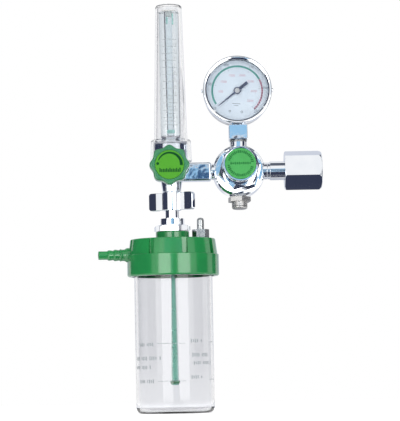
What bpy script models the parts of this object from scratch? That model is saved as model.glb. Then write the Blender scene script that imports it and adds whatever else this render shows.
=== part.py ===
# Oxygen regulator with a contents gauge, a floating-ball flowmeter and a humidifier bottle.
# Metres, +Z up, the front of the object towards -Y. The origin is the centre of the inlet
# nut's mouth, and the inlet axis runs along +X towards the cylinder valve.

import bpy
import bmesh
from math import atan2, cos, hypot, pi, radians, sin, sqrt

from mathutils import Matrix

MM = 0.001

# How round the turned pieces are
LARGE_ROUND = 32
MEDIUM_ROUND = 20
SMALL_ROUND = 12
FINE_ROUND = 10

# Clearances
TOUCH = 0.3 * MM            # between faces that meet on the real object
SLACK = 0.3 * MM            # radial play of a spigot, a shaft or a thread in its hole
CUT_PAST = 1.0 * MM         # how far a cutter runs past the face that it opens

# Attitude of the pieces as they are screwed together
REGULATOR_LEAN = 4.0        # degrees, the regulator and its gauge lean back on the arm's thread
INLET_NUT_TURN = -12.5      # degrees
BONNET_TURN = 15.0
RELIEF_TURN = 20.0
DIAL_TURN = 5.0             # the gauge is turned a little clockwise in its thread
WING_TURN = 30.0
FLANGE_NUT_TURN = -10.0
SMALL_HEX_TURN = 2.0
CAP_TURN = -7.0
BARB_TURN = 6.0

# Inlet nut and stem
NUT_LENGTH = 32.5 * MM
NUT_FLATS = 30.6 * MM
NUT_WEB = 6.0 * MM
NUT_THREAD = 22.9 * MM      # outside diameter of the cylinder valve's thread
NUT_MOUTH_CHAMFER = 0.8 * MM
NUT_FACE = 27.0 * MM        # diameter of the flat ring round the mouth
NUT_NOSE = 4.6 * MM         # length over which the corners run in to that ring
NUT_BACK_CHAMFER = 1.2 * MM
STEM_DIAMETER = 16.2 * MM
STEM_LENGTH = 14.8 * MM     # between the nut and the regulator's boss
STEM_GROOVE = 2.0 * MM
STEM_GROOVE_DEPTH = 0.8 * MM
SHOULDER_PLAY = 1.2 * MM
SHOULDER_LENGTH = 4.0 * MM
NOSE_DIAMETER = 12.0 * MM
NOSE_LENGTH = 9.0 * MM
WASHER_THICKNESS = 2.5 * MM
FILTER_DIAMETER = 7.0 * MM
FILTER_LENGTH = 6.0 * MM
INLET_BORE = 4.0 * MM
SPIGOT_DIAMETER = 11.0 * MM
SPIGOT_DEPTH = 4.6 * MM     # how far each spigot screws into the regulator's body

# Regulator body, measured from the plane of the ports, positive towards the front
BODY_DIAMETER = 45.0 * MM
BODY_BACK = 12.5 * MM
BODY_FRONT = 7.5 * MM
BODY_ROUNDING = 3.0 * MM
INLET_BOSS_DIAMETER = 14.6 * MM
INLET_BOSS = 2.0 * MM
OUTLET_BOSS_DIAMETER = 14.0 * MM
OUTLET_BOSS = 1.2 * MM
GAUGE_BOSS_DIAMETER = 14.8 * MM
GAUGE_BOSS = 3.2 * MM
CHAMBER_DIAMETER = 25.4 * MM
CHAMBER_FLOOR = -3.0 * MM
LEDGE_HEIGHT = 3.5 * MM     # from the chamber's floor to the diaphragm's ledge
LEDGE_WIDTH = 2.8 * MM
VALVE_BORE = 8.0 * MM
VALVE_WALL = 2.0 * MM       # behind the valve bore
HIGH_PASSAGE = 2.0 * MM
HIGH_PASSAGE_PLANE = -4.4 * MM
LOW_PASSAGE = 2.4 * MM
LOW_PASSAGE_PLANE = -1.2 * MM

# Diaphragm, bonnet and adjusting spring
DIAPHRAGM_THICKNESS = 1.2 * MM
SLIP_RING_THICKNESS = 0.8 * MM
BONNET_FLATS = 32.0 * MM
BONNET_HEX = 5.2 * MM
BONNET_CHAMFER = 1.0 * MM
BOSS_DIAMETER = 30.6 * MM
BOSS_TIP_DIAMETER = 30.0 * MM
BOSS_LENGTH = 31.0 * MM
BOSS_EDGE = 0.8 * MM
BONNET_FRONT_WALL = 6.0 * MM
BONNET_CAVITY = 21.0 * MM
BADGE_DIAMETER = 26.6 * MM
BADGE_THICKNESS = 1.0 * MM
SCREW_DIAMETER = 9.0 * MM
SCREW_BELOW_WALL = 2.6 * MM
SCREW_SLOT_WIDTH = 1.6 * MM
SCREW_SLOT_DEPTH = 1.8 * MM
SPRING_WIRE = 2.4 * MM
SPRING_DIAMETER = 18.0 * MM
SPRING_TURNS = 5
SPRING_PLATE_THICKNESS = 2.0 * MM
SPRING_PLATE_SPIGOT = 1.5 * MM
SPRING_BUTTON_THICKNESS = 2.4 * MM

# Main valve
NOZZLE_FLANGE = 1.2 * MM
NOZZLE_FLANGE_DIAMETER = 10.0 * MM
NOZZLE_SPIGOT = 0.7 * MM
NOZZLE_BORE = 2.4 * MM
POPPET_DIAMETER = 5.6 * MM
POPPET_THICKNESS = 1.8 * MM
POPPET_PIN = 1.4 * MM
RETURN_WIRE = 0.6 * MM
RETURN_TURNS = 3

# Relief valve under the body, measured downwards from the body's axis
RELIEF_FLATS = 17.8 * MM
RELIEF_FLANGE = 4.0 * MM
RELIEF_BARREL_DIAMETER = 13.5 * MM
RELIEF_BARREL = 3.8 * MM
RELIEF_CAP_THICKNESS = 2.2 * MM
RELIEF_BORE = 8.4 * MM
RELIEF_SEAT_WALL = 1.4 * MM
RELIEF_ORIFICE = 2.4 * MM
RELIEF_POPPET_THICKNESS = 1.6 * MM
RELIEF_CAP_PLUG = 1.0 * MM
RELIEF_VENT = 2.0 * MM
RELIEF_WIRE = 0.7 * MM
RELIEF_TURNS = 2

# Gauge, measured from the socket's axis, positive towards the front
GAUGE_WASHER = 1.0 * MM
SQUARE_WIDTH = 16.0 * MM
SQUARE_LENGTH = 13.1 * MM
SHANK_WIDTH = 11.0 * MM
SHANK_BACK = 6.5 * MM        # behind the socket's axis
SHANK_TOP_BELOW_CENTRE = 17.0 * MM
GAUGE_BORE = 2.4 * MM
CASE_DIAMETER = 57.0 * MM
CASE_BACK = 17.0 * MM
CASE_FRONT = 7.0 * MM
CASE_WALL = 1.0 * MM
CASE_ROUNDING = 2.2 * MM
BEZEL_DIAMETER = 60.0 * MM
BEZEL_OVERLAP = 4.5 * MM    # how far the bezel reaches back over the case
BEZEL_LIP = 1.6 * MM
BEZEL_OPENING = 53.6 * MM
BEZEL_ROUNDING = 1.2 * MM
WINDOW_THICKNESS = 1.8 * MM
DIAL_THICKNESS = 0.8 * MM
DIAL_DEPTH = 4.0 * MM       # from the case's rim back to the dial's front
POINTER_THICKNESS = 0.5 * MM
POINTER_CLEARANCE = 1.2 * MM
POINTER_REACH = 22.2 * MM
POINTER_TAIL = 11.4 * MM
POINTER_TAIL_WIDTH = 2.6 * MM
POINTER_TIP_WIDTH = 0.7 * MM
HUB_DIAMETER = 6.2 * MM
HUB_THICKNESS = 1.5 * MM
POINTER_ZERO = 223.5        # degrees from +X, seen from the front, with the dial upright
BEZEL_SCREW_DIAMETER = 3.4 * MM
BEZEL_SCREW_HEAD = 1.1 * MM
BEZEL_SCREW_SHANK = 1.7 * MM

# Gauge movement
GEAR_MODULE = 0.25 * MM
PINION_TEETH = 12
SECTOR_FULL_TEETH = 96
SECTOR_TEETH = 13
TOOTH_ADDENDUM = 0.22 * MM
TOOTH_DEDENDUM = 0.30 * MM
TOOTH_TIP_SHARE = 0.10      # of the tooth pitch
TOOTH_ROOT_SHARE = 0.32
SECTOR_DIRECTION = -45.0    # degrees, from the pinion to the sector's pivot
SECTOR_TAIL = 3.2 * MM
SECTOR_SWEEP = 33.75        # degrees, an eighth of the pointer's 270
GEAR_THICKNESS = 1.5 * MM
GEAR_PLANE = -2.5 * MM
PINION_THICKNESS = 1.8 * MM
ARBOR_DIAMETER = 1.6 * MM
SECTOR_SHAFT_DIAMETER = 1.8 * MM
PLATE_THICKNESS = 1.0 * MM
FRONT_PLATE_PLANE = 0.4 * MM
BACK_PLATE_PLANE = -8.0 * MM
PILLAR_DIAMETER = 2.4 * MM
LINK_LENGTH = 8.0 * MM
LINK_THICKNESS = 0.8 * MM
LINK_WIDTH = 3.4 * MM
LINK_PIN = 1.2 * MM
LINK_PIN_SLACK = 0.4 * MM
TUBE_CENTRE_RADIUS = 21.0 * MM
TUBE_RADIAL = 3.0 * MM
TUBE_DEPTH = 8.0 * MM
TUBE_WALL = 0.7 * MM
TUBE_END_ANGLE = -12.0      # degrees
TIP_LENGTH = 4.0 * MM

# Flowmeter block and arm, measured from the flow axis and the inlet axis
ARM_LENGTH = 34.7 * MM
ARM_SIZE = 16.0 * MM
ARM_EDGE = 2.0 * MM
BLOCK_DIAMETER = 28.7 * MM
BLOCK_TOP = 24.4 * MM
BLOCK_BOTTOM = 6.8 * MM
TUBE_BOSS_DIAMETER = 17.0 * MM
TUBE_BOSS = 5.6 * MM
CONE_TOP_DIAMETER = 18.7 * MM
CONE_SHOULDER = 1.8 * MM
CONE_BOTTOM_DIAMETER = 16.0 * MM
CONE_LENGTH = 8.2 * MM
OUTLET_THREAD = 14.3 * MM
OUTLET_BORE = 6.4 * MM
RISER_BORE = 3.0 * MM
RISER_SETBACK = 0.8 * MM
RETURN_BORE = 2.6 * MM
RETURN_RADIUS = 10.6 * MM
RETURN_FLOOR = -2.3 * MM
SUPPLY_BORE = 3.6 * MM
SUPPLY_FORWARD = 3.0 * MM
SUPPLY_HEIGHT = 1.5 * MM

# Needle valve and knob, measured from the flow axis towards the front
NEEDLE_HEIGHT = 3.8 * MM
NEEDLE_OFFSET = -1.75 * MM
SEAT_PLANE = 2.4 * MM
SEAT_BORE = 2.2 * MM
SPINDLE_CAVITY = 5.2 * MM
SPINDLE_DIAMETER = 3.2 * MM
SPINDLE_THREAD_LENGTH = 2.4 * MM
NEEDLE_LENGTH = 3.2 * MM
NEEDLE_TIP = 0.8 * MM
GLAND_FLOOR = 8.6 * MM
GLAND_BORE = 7.8 * MM
PACKING_THICKNESS = 1.8 * MM
GLAND_FLATS = 11.0 * MM
GLAND_FLANGE = 5.0 * MM
KNOB_DIAMETER = 34.4 * MM
KNOB_LOBES = 8
KNOB_POINTS_PER_LOBE = 8
KNOB_VALLEY = 1.9 * MM
KNOB_LENGTH = 15.0 * MM
KNOB_BACK_GAP = 2.6 * MM    # between the gland nut and the knob
KNOB_EDGE = 1.6 * MM
KNOB_BADGE_DIAMETER = 24.8 * MM
KNOB_BADGE_THICKNESS = 0.9 * MM
KNOB_FRONT_WALL = 3.2 * MM
KNOB_WALL = 2.6 * MM
KNOB_HUB_WALL = 3.0 * MM

# Clear cover, flow tube and ball
COLLAR_BOTTOM = 9.3 * MM
COLLAR_TOP = 28.4 * MM
COLLAR_DIAMETER = 36.0 * MM
COLLAR_TOP_DIAMETER = 34.6 * MM
COLLAR_EDGE = 1.4 * MM
COVER_TOP = 146.8 * MM
COVER_BASE_DIAMETER = 28.9 * MM
COVER_TOP_DIAMETER = 22.8 * MM
COVER_WALL = 2.0 * MM
COVER_ROOF = 2.3 * MM
COVER_DOME = 2.6 * MM
COVER_SEAL_THICKNESS = 1.2 * MM
COVER_SEAL_WIDTH = 2.0 * MM
FLOW_TUBE_DIAMETER = 17.4 * MM
FLOW_TUBE_LENGTH = 109.0 * MM
FLOW_TUBE_SPIGOT = 3.0 * MM
FLOW_TUBE_SPIGOT_WALL = 1.6 * MM
FLOW_BORE_BOTTOM = 4.5 * MM
FLOW_BORE_TOP = 6.4 * MM
TUBE_SEAL_THICKNESS = 0.8 * MM
BALL_DIAMETER = 4.0 * MM
BALL_STOP_FLANGE = 1.2 * MM
BALL_STOP_DIAMETER = 12.0 * MM
BALL_STOP_SPIGOT = 4.0 * MM
BALL_STOP_BORE = 2.4 * MM

# Wing nut and humidifier stem
WING_NUT_DIAMETER = 16.8 * MM
WING_NUT_HEIGHT = 16.1 * MM
WING_NUT_WEB = 4.0 * MM
WING_SPAN = 43.2 * MM
WING_THICKNESS = 5.4 * MM
WING_CORNER = 2.2 * MM
NECK_DIAMETER = 11.9 * MM
NECK_LENGTH = 11.3 * MM     # from the stem's head down to its hexagon
HEAD_THICKNESS = 2.4 * MM
NIPPLE_LENGTH = 4.4 * MM
SMALL_HEX_FLATS = 18.0 * MM
SMALL_HEX = 5.2 * MM
SMALL_HEX_CHAMFER = 0.6 * MM
TAIL_DIAMETER = 10.0 * MM
TAIL_PAST_NUT = 1.2 * MM
STEM_BORE = 3.6 * MM
FLANGE_NUT_FLATS = 27.4 * MM
FLANGE_NUT = 5.4 * MM
FLANGE_NUT_CHAMFER = 2.0 * MM
STEM_SEAL_THICKNESS = 1.5 * MM
STEM_SEAL_DIAMETER = 17.0 * MM
BACK_NUT_FLATS = 14.0 * MM
BACK_NUT = 4.5 * MM
DIP_NIPPLE_DIAMETER = 5.2 * MM
DIP_NIPPLE = 5.5 * MM

# Bottle cap with its barbed outlet
CAP_BOSS_DIAMETER = 29.0 * MM
CAP_BOSS = 6.6 * MM
CAP_ROOF = 3.7 * MM
CAP_TOP_DIAMETER = 73.6 * MM
CAP_GRIP_DIAMETER = 77.2 * MM
CAP_GRIP_HEIGHT = 13.6 * MM
CAP_RING_DIAMETER = 79.4 * MM
CAP_RING_HEIGHT = 18.7 * MM
CAP_RING_EDGE = 1.4 * MM
CAP_TOP_EDGE = 1.0 * MM
CAP_LUGS = 8
LUG_RECESS_ANGLE = 7.5      # degrees
LUG_RECESS_DEPTH = 1.6 * MM
CAP_CHAMBER_DIAMETER = 60.0 * MM
SEAT_ABOVE_RIM = 14.6 * MM  # from the ring's lower edge up to the seal's seat
BARB_BELOW_RING_TOP = -0.2 * MM
BARB_REACH = 64.8 * MM      # from the flow axis to the barb's tip
BARB_TIP_DIAMETER = 7.4 * MM
BARB_ROOT_DIAMETER = 10.0 * MM
BARB_BORE = 4.6 * MM
BARB_RIDGES = 3
BARB_RIDGE_PITCH = 5.2 * MM
BARB_RIDGE_RISE = 0.9 * MM
BARB_RIDGE_WIDTH = 1.8 * MM
BARB_LAST_RIDGE = 5.2 * MM  # from the ring's face out to the root's ridge
BARB_TAPER = 0.5 * MM
BARB_FOOT_DIAMETER = 12.6 * MM
BARB_FOOT = 2.4 * MM

# Bottle and dip tube
BOTTLE_DIAMETER = 67.6 * MM
BOTTLE_HEIGHT = 130.5 * MM  # from the rim down to the base
BOTTLE_WALL = 2.0 * MM
BOTTLE_BASE_WALL = 2.4 * MM
BOTTLE_CORNER = 4.4 * MM
THREAD_BAND_RISE = 1.6 * MM
THREAD_BAND = 9.0 * MM
BOTTLE_SEAL_THICKNESS = 1.5 * MM
DIP_TUBE_END_ABOVE_BASE = 24.2 * MM
DIP_TOP_DIAMETER = 3.4 * MM
DIP_END_DIAMETER = 6.4 * MM
DIP_BORE = 2.0 * MM
DIP_SOCKET_WALL = 1.2 * MM
DIP_SHOULDER = 3.0 * MM
DIP_COLLAR_DIAMETER = 8.4 * MM
DIP_COLLAR = 2.8 * MM
DIP_COLLAR_SETBACK = 1.1 * MM

# Relief pin on the cap
PIN_OFFSET = 24.4 * MM
PIN_DIAMETER = 6.1 * MM
PIN_HEIGHT = 10.2 * MM      # above its base
PIN_BASE_FLATS = 12.8 * MM
PIN_BASE_HEIGHT = 7.8 * MM
PIN_BASE_THREAD = 10.8 * MM
PIN_BASE_FLOOR = 1.2 * MM
PIN_BASE_LIP = 1.4 * MM
PIN_BASE_TAIL = 1.6 * MM    # below the cap's roof
PIN_FLANGE = 1.2 * MM
PIN_ORIFICE = 2.4 * MM
PIN_WIRE = 0.6 * MM
PIN_SPRING_TURNS = 3

# Places worked out from the sizes above
BODY_RADIUS = BODY_DIAMETER / 2
BODY_X = -(NUT_LENGTH + STEM_LENGTH + TOUCH + INLET_BOSS + BODY_RADIUS)
FLOW_X = BODY_X - BODY_RADIUS - OUTLET_BOSS - TOUCH - ARM_LENGTH
LEDGE = CHAMBER_FLOOR + LEDGE_HEIGHT
DIAPHRAGM_BOTTOM = LEDGE + TOUCH
SLIP_RING_BOTTOM = DIAPHRAGM_BOTTOM + DIAPHRAGM_THICKNESS + TOUCH
SKIRT_BOTTOM = SLIP_RING_BOTTOM + SLIP_RING_THICKNESS + TOUCH
BONNET_THREAD_RADIUS = CHAMBER_DIAMETER / 2 + LEDGE_WIDTH
HEX_BOTTOM = BODY_FRONT + TOUCH
HEX_TOP = HEX_BOTTOM + BONNET_HEX
BOSS_TOP = HEX_TOP + BOSS_LENGTH
BADGE_FLOOR = BOSS_TOP - BADGE_THICKNESS - 2 * TOUCH
FRONT_WALL_BACK = BADGE_FLOOR - BONNET_FRONT_WALL
SCREW_BACK = FRONT_WALL_BACK - SCREW_BELOW_WALL
BUTTON_BACK = SCREW_BACK - TOUCH - SPRING_BUTTON_THICKNESS
PLATE_TOP = SLIP_RING_BOTTOM + SPRING_PLATE_THICKNESS
NUT_CORNER_RADIUS = NUT_FLATS / sqrt(3)
GAUGE_HEIGHT = (BODY_RADIUS + GAUGE_BOSS + TOUCH + GAUGE_WASHER + TOUCH + SQUARE_LENGTH + TOUCH
                + BEZEL_DIAMETER / 2)
DIAL_FRONT = CASE_FRONT - DIAL_DEPTH
SHANK_FRONT = DIAL_FRONT - DIAL_THICKNESS - TOUCH
PINION_RADIUS = GEAR_MODULE * PINION_TEETH / 2
SECTOR_RADIUS = GEAR_MODULE * SECTOR_FULL_TEETH / 2
SECTOR_PIVOT = ((PINION_RADIUS + SECTOR_RADIUS) * cos(radians(SECTOR_DIRECTION)),
                (PINION_RADIUS + SECTOR_RADIUS) * sin(radians(SECTOR_DIRECTION)))
GLAND_TOP = BLOCK_DIAMETER / 2 + TOUCH + GLAND_FLANGE
KNOB_BACK = GLAND_TOP + KNOB_BACK_GAP
KNOB_FRONT = KNOB_BACK + KNOB_LENGTH
BOSS_FACE = BLOCK_TOP + TUBE_BOSS
FLOW_TUBE_BOTTOM = BOSS_FACE + TOUCH + TUBE_SEAL_THICKNESS + TOUCH
FLOW_TUBE_TOP = FLOW_TUBE_BOTTOM + FLOW_TUBE_LENGTH
CONE_BOTTOM = -BLOCK_BOTTOM - CONE_SHOULDER - CONE_LENGTH
WING_NUT_TOP = CONE_BOTTOM - TOUCH
WING_NUT_BOTTOM = WING_NUT_TOP - WING_NUT_HEIGHT
HEAD_BOTTOM = WING_NUT_BOTTOM + WING_NUT_WEB + TOUCH
HEAD_TOP = HEAD_BOTTOM + HEAD_THICKNESS
OUTLET_END = HEAD_TOP + TOUCH
SMALL_HEX_TOP = HEAD_BOTTOM - NECK_LENGTH
SMALL_HEX_BOTTOM = SMALL_HEX_TOP - SMALL_HEX
FLANGE_NUT_TOP = SMALL_HEX_BOTTOM - TOUCH
FLANGE_NUT_BOTTOM = FLANGE_NUT_TOP - FLANGE_NUT
CAP_BOSS_TOP = FLANGE_NUT_BOTTOM - TOUCH
CAP_TOP = CAP_BOSS_TOP - CAP_BOSS
ROOF_UNDERSIDE = CAP_TOP - CAP_ROOF
RING_TOP = CAP_TOP - CAP_GRIP_HEIGHT
RING_BOTTOM = RING_TOP - CAP_RING_HEIGHT
SEAL_SEAT = RING_BOTTOM + SEAT_ABOVE_RIM
BOTTLE_RIM = SEAL_SEAT - TOUCH - BOTTLE_SEAL_THICKNESS - TOUCH
BOTTLE_BASE = BOTTLE_RIM - BOTTLE_HEIGHT
CAP_THREAD_RADIUS = BOTTLE_DIAMETER / 2 + THREAD_BAND_RISE + SLACK
BACK_NUT_TOP = ROOF_UNDERSIDE - TOUCH - STEM_SEAL_THICKNESS - TOUCH
TAIL_END = BACK_NUT_TOP - BACK_NUT - TAIL_PAST_NUT
DIP_TOP = TAIL_END - TOUCH
DIP_SOCKET_FLOOR = TAIL_END - DIP_NIPPLE - TOUCH
DIP_END = BOTTLE_BASE + DIP_TUBE_END_ABOVE_BASE
PIN_BASE_BOTTOM = CAP_TOP + TOUCH
PIN_BASE_TOP = PIN_BASE_BOTTOM + PIN_BASE_HEIGHT
PIN_TAIL_END = ROOF_UNDERSIDE - PIN_BASE_TAIL


def clear_scene():
    for old in list(bpy.data.objects):
        bpy.data.objects.remove(old, do_unlink=True)


def make_material(name, colour, roughness, metallic):
    material = bpy.data.materials.new(name)
    material.use_nodes = True
    shader = material.node_tree.nodes["Principled BSDF"]
    shader.inputs["Base Color"].default_value = (*colour, 1.0)
    shader.inputs["Roughness"].default_value = roughness
    shader.inputs["Metallic"].default_value = metallic
    return material


def make_frame(name, parent=None, location=(0, 0, 0), rotation=(0, 0, 0)):
    frame = bpy.data.objects.new(name, None)
    bpy.context.collection.objects.link(frame)
    frame.parent = parent
    frame.location = location
    frame.rotation_euler = rotation
    frame.hide_render = True
    return frame


def add_object(name, bm, frame, material=None, location=(0, 0, 0), rotation=(0, 0, 0)):
    """Closes the mesh, turns its faces out and places it in its frame."""
    bmesh.ops.remove_doubles(bm, verts=bm.verts, dist=1e-7)
    bmesh.ops.recalc_face_normals(bm, faces=bm.faces)
    if bm.calc_volume(signed=True) < 0:
        bmesh.ops.reverse_faces(bm, faces=bm.faces)
    mesh = bpy.data.meshes.new(name)
    bm.to_mesh(mesh)
    bm.free()
    solid = bpy.data.objects.new(name, mesh)
    bpy.context.collection.objects.link(solid)
    solid.parent = frame
    solid.location = location
    solid.rotation_euler = rotation
    if material is not None:
        mesh.materials.append(material)
        mesh.shade_smooth()
        mesh.set_sharp_from_angle(angle=radians(35))
    return solid


def turned_mesh(profile, sides):
    """Spins a profile of (radius, height) points round Z; a profile off the axis is a ring."""
    bm = bmesh.new()
    points = [bm.verts.new((radius, 0, height)) for radius, height in profile]
    edges = [bm.edges.new(pair) for pair in zip(points, points[1:])]
    if profile[0][0] > 0:
        edges.append(bm.edges.new((points[-1], points[0])))
    bmesh.ops.spin(bm, geom=points + edges, cent=(0, 0, 0), axis=(0, 0, 1), angle=2 * pi,
                   steps=round(sides), use_merge=True)
    return bm


def turned(name, profile, sides, frame, material=None, location=(0, 0, 0), rotation=(0, 0, 0)):
    return add_object(name, turned_mesh(profile, sides), frame, material, location, rotation)


def prism_mesh(outline, low, high):
    bm = bmesh.new()
    base = bm.faces.new([bm.verts.new((x, y, low)) for x, y in outline])
    grown = bmesh.ops.extrude_face_region(bm, geom=[base], use_keep_orig=True)
    risen = [item for item in grown["geom"] if isinstance(item, bmesh.types.BMVert)]
    bmesh.ops.translate(bm, vec=(0, 0, high - low), verts=risen)
    return bm


def box_mesh(low, high):
    outline = [(low[0], low[1]), (high[0], low[1]), (high[0], high[1]), (low[0], high[1])]
    return prism_mesh(outline, low[2], high[2])


def ring_outline(radius, sides, turn=0.0, centre=(0, 0)):
    count = round(sides)
    return [(centre[0] + radius * cos(turn + 2 * pi * step / count),
             centre[1] + radius * sin(turn + 2 * pi * step / count)) for step in range(count)]


def combine(solid, tool, operation):
    """Adds a Boolean and hides its tool from the finished object."""
    tool.hide_render = True
    tool.display_type = 'WIRE'
    modifier = solid.modifiers.new(tool.name, 'BOOLEAN')
    modifier.operation = operation
    modifier.solver = 'EXACT'
    modifier.object = tool


def drill(solid, name, radius, low, high, frame, location=(0, 0, 0), rotation=(0, 0, 0),
          sides=FINE_ROUND):
    """Cuts a round hole along the Z axis of the place given."""
    tool = add_object(name, prism_mesh(ring_outline(radius, sides), low, high), frame, None,
                      location, rotation)
    combine(solid, tool, 'DIFFERENCE')


def hexagonal(solid, flats, low, high, frame, turn=0.0):
    """Mills six flats on a turned blank; everything narrower than the flats stays round."""
    outline = ring_outline(flats / sqrt(3), 6, radians(turn))
    tool = add_object(solid.name + ".flats", prism_mesh(outline, low - CUT_PAST, high + CUT_PAST),
                      frame)
    combine(solid, tool, 'INTERSECT')


def coil(name, mean_diameter, wire, turns, low, high, frame, material, steps=12, sides=5):
    """A compression spring between two heights, wound along a helix with open ends."""
    bm = bmesh.new()
    section = ring_outline(wire / 2, sides, 0.0, (mean_diameter / 2, low + wire / 2))
    face = bm.faces.new([bm.verts.new((x, 0, z)) for x, z in section])
    rise = (high - low - wire) / (turns * steps)
    bmesh.ops.spin(bm, geom=[face], cent=(0, 0, 0), axis=(0, 0, 1), dvec=(0, 0, rise),
                   angle=2 * pi * turns, steps=turns * steps)
    return add_object(name, bm, frame, material)


FACE_FRONT = (pi / 2, 0, 0)         # local Z towards the viewer, local Y up
ALONG_X = (0, pi / 2, 0)            # local Z towards +X
DOWNWARDS = (pi, 0, 0)              # local Z down


def build_inlet(chrome, brass, nylon):
    axis = make_frame("inlet_axis", rotation=ALONG_X)
    corner = NUT_CORNER_RADIUS + SLACK
    thread = NUT_THREAD / 2
    web_face = -NUT_LENGTH + NUT_WEB
    stem_hole = STEM_DIAMETER / 2 + SLACK
    nut = turned("inlet_nut", [
        (stem_hole, -NUT_LENGTH),
        (corner - NUT_BACK_CHAMFER * 1.7, -NUT_LENGTH),
        (corner, -NUT_LENGTH + NUT_BACK_CHAMFER),
        (corner, -NUT_NOSE),
        ((corner + NUT_FACE / 2) / 2 + NUT_NOSE / 8, -NUT_NOSE * 0.4),
        (NUT_FACE / 2, 0),
        (thread + NUT_MOUTH_CHAMFER, 0),
        (thread, -NUT_MOUTH_CHAMFER),
        (thread, web_face),
        (stem_hole, web_face)], MEDIUM_ROUND, axis, chrome)
    hexagonal(nut, NUT_FLATS, -NUT_LENGTH, 0, axis, INLET_NUT_TURN)

    shoulder_back = web_face + TOUCH
    shoulder_face = shoulder_back + SHOULDER_LENGTH
    nose_tip = shoulder_face + NOSE_LENGTH
    stem_end = -NUT_LENGTH - STEM_LENGTH
    groove = STEM_DIAMETER / 2 - STEM_GROOVE_DEPTH
    recess = FILTER_DIAMETER / 2 + SLACK
    recess_floor = nose_tip - FILTER_LENGTH - 2 * TOUCH
    spigot_end = stem_end - TOUCH - INLET_BOSS - SPIGOT_DEPTH
    bore = INLET_BORE / 2
    turned("inlet_stem", [
        (bore, spigot_end),
        (SPIGOT_DIAMETER / 2, spigot_end),
        (SPIGOT_DIAMETER / 2, stem_end),
        (groove, stem_end),
        (groove, stem_end + STEM_GROOVE),
        (STEM_DIAMETER / 2, stem_end + STEM_GROOVE),
        (STEM_DIAMETER / 2, shoulder_back),
        (thread - SHOULDER_PLAY, shoulder_back),
        (thread - SHOULDER_PLAY, shoulder_face),
        (NOSE_DIAMETER / 2, shoulder_face),
        (NOSE_DIAMETER / 2, nose_tip),
        (recess, nose_tip),
        (recess, recess_floor),
        (bore, recess_floor)], MEDIUM_ROUND, axis, chrome)

    washer_back = shoulder_face + TOUCH
    turned("inlet_washer", [
        (NOSE_DIAMETER / 2 + SLACK, washer_back),
        (thread - SHOULDER_PLAY - SLACK, washer_back),
        (thread - SHOULDER_PLAY - SLACK, washer_back + WASHER_THICKNESS),
        (NOSE_DIAMETER / 2 + SLACK, washer_back + WASHER_THICKNESS)], SMALL_ROUND, axis, nylon)

    filter_back = recess_floor + TOUCH
    turned("inlet_filter", [
        (0, filter_back),
        (FILTER_DIAMETER / 2, filter_back),
        (FILTER_DIAMETER / 2, filter_back + FILTER_LENGTH),
        (0, filter_back + FILTER_LENGTH)], FINE_ROUND, axis, brass)


def build_regulator_body(front, chrome):
    back = -BODY_BACK
    chamber = CHAMBER_DIAMETER / 2
    valve_floor = back + VALVE_WALL
    edge = BODY_ROUNDING
    body = turned("regulator_body", [
        (0, back),
        (BODY_RADIUS - edge, back),
        (BODY_RADIUS - edge * 0.3, back + edge * 0.3),
        (BODY_RADIUS, back + edge),
        (BODY_RADIUS, BODY_FRONT - edge * 0.35),
        (BODY_RADIUS - edge * 0.35, BODY_FRONT),
        (BONNET_THREAD_RADIUS, BODY_FRONT),
        (BONNET_THREAD_RADIUS, LEDGE),
        (chamber, LEDGE),
        (chamber, CHAMBER_FLOOR),
        (VALVE_BORE / 2, CHAMBER_FLOOR),
        (VALVE_BORE / 2, valve_floor),
        (0, valve_floor)], LARGE_ROUND, front, chrome)

    # Port bosses stand on the round side, and each takes a spigot
    ports = (
        ("inlet", (0, pi / 2, 0), INLET_BOSS_DIAMETER, INLET_BOSS, HIGH_PASSAGE,
         HIGH_PASSAGE_PLANE),
        ("outlet", (0, -pi / 2, 0), OUTLET_BOSS_DIAMETER, OUTLET_BOSS, LOW_PASSAGE,
         LOW_PASSAGE_PLANE),
        ("gauge", (-pi / 2, 0, 0), GAUGE_BOSS_DIAMETER, GAUGE_BOSS, HIGH_PASSAGE,
         HIGH_PASSAGE_PLANE),
        ("relief", (pi / 2, 0, 0), 0, 0, LOW_PASSAGE, LOW_PASSAGE_PLANE))
    hole_floor = BODY_RADIUS - SPIGOT_DEPTH - TOUCH
    for name, rotation, diameter, rise, passage, plane in ports:
        if diameter > 0:
            outline = ring_outline(diameter / 2, MEDIUM_ROUND)
            boss = add_object(name + "_boss", prism_mesh(outline, hole_floor, BODY_RADIUS + rise),
                              front, None, (0, 0, 0), rotation)
            combine(body, boss, 'UNION')
    for name, rotation, diameter, rise, passage, plane in ports:
        drill(body, name + "_port", SPIGOT_DIAMETER / 2 + SLACK, hole_floor,
              BODY_RADIUS + rise + CUT_PAST, front, (0, 0, 0), rotation, MEDIUM_ROUND)
        start = 0 if plane == HIGH_PASSAGE_PLANE else chamber - LEDGE_WIDTH
        drill(body, name + "_passage", passage / 2, start, hole_floor + CUT_PAST, front,
              (0, 0, plane), rotation)


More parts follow.
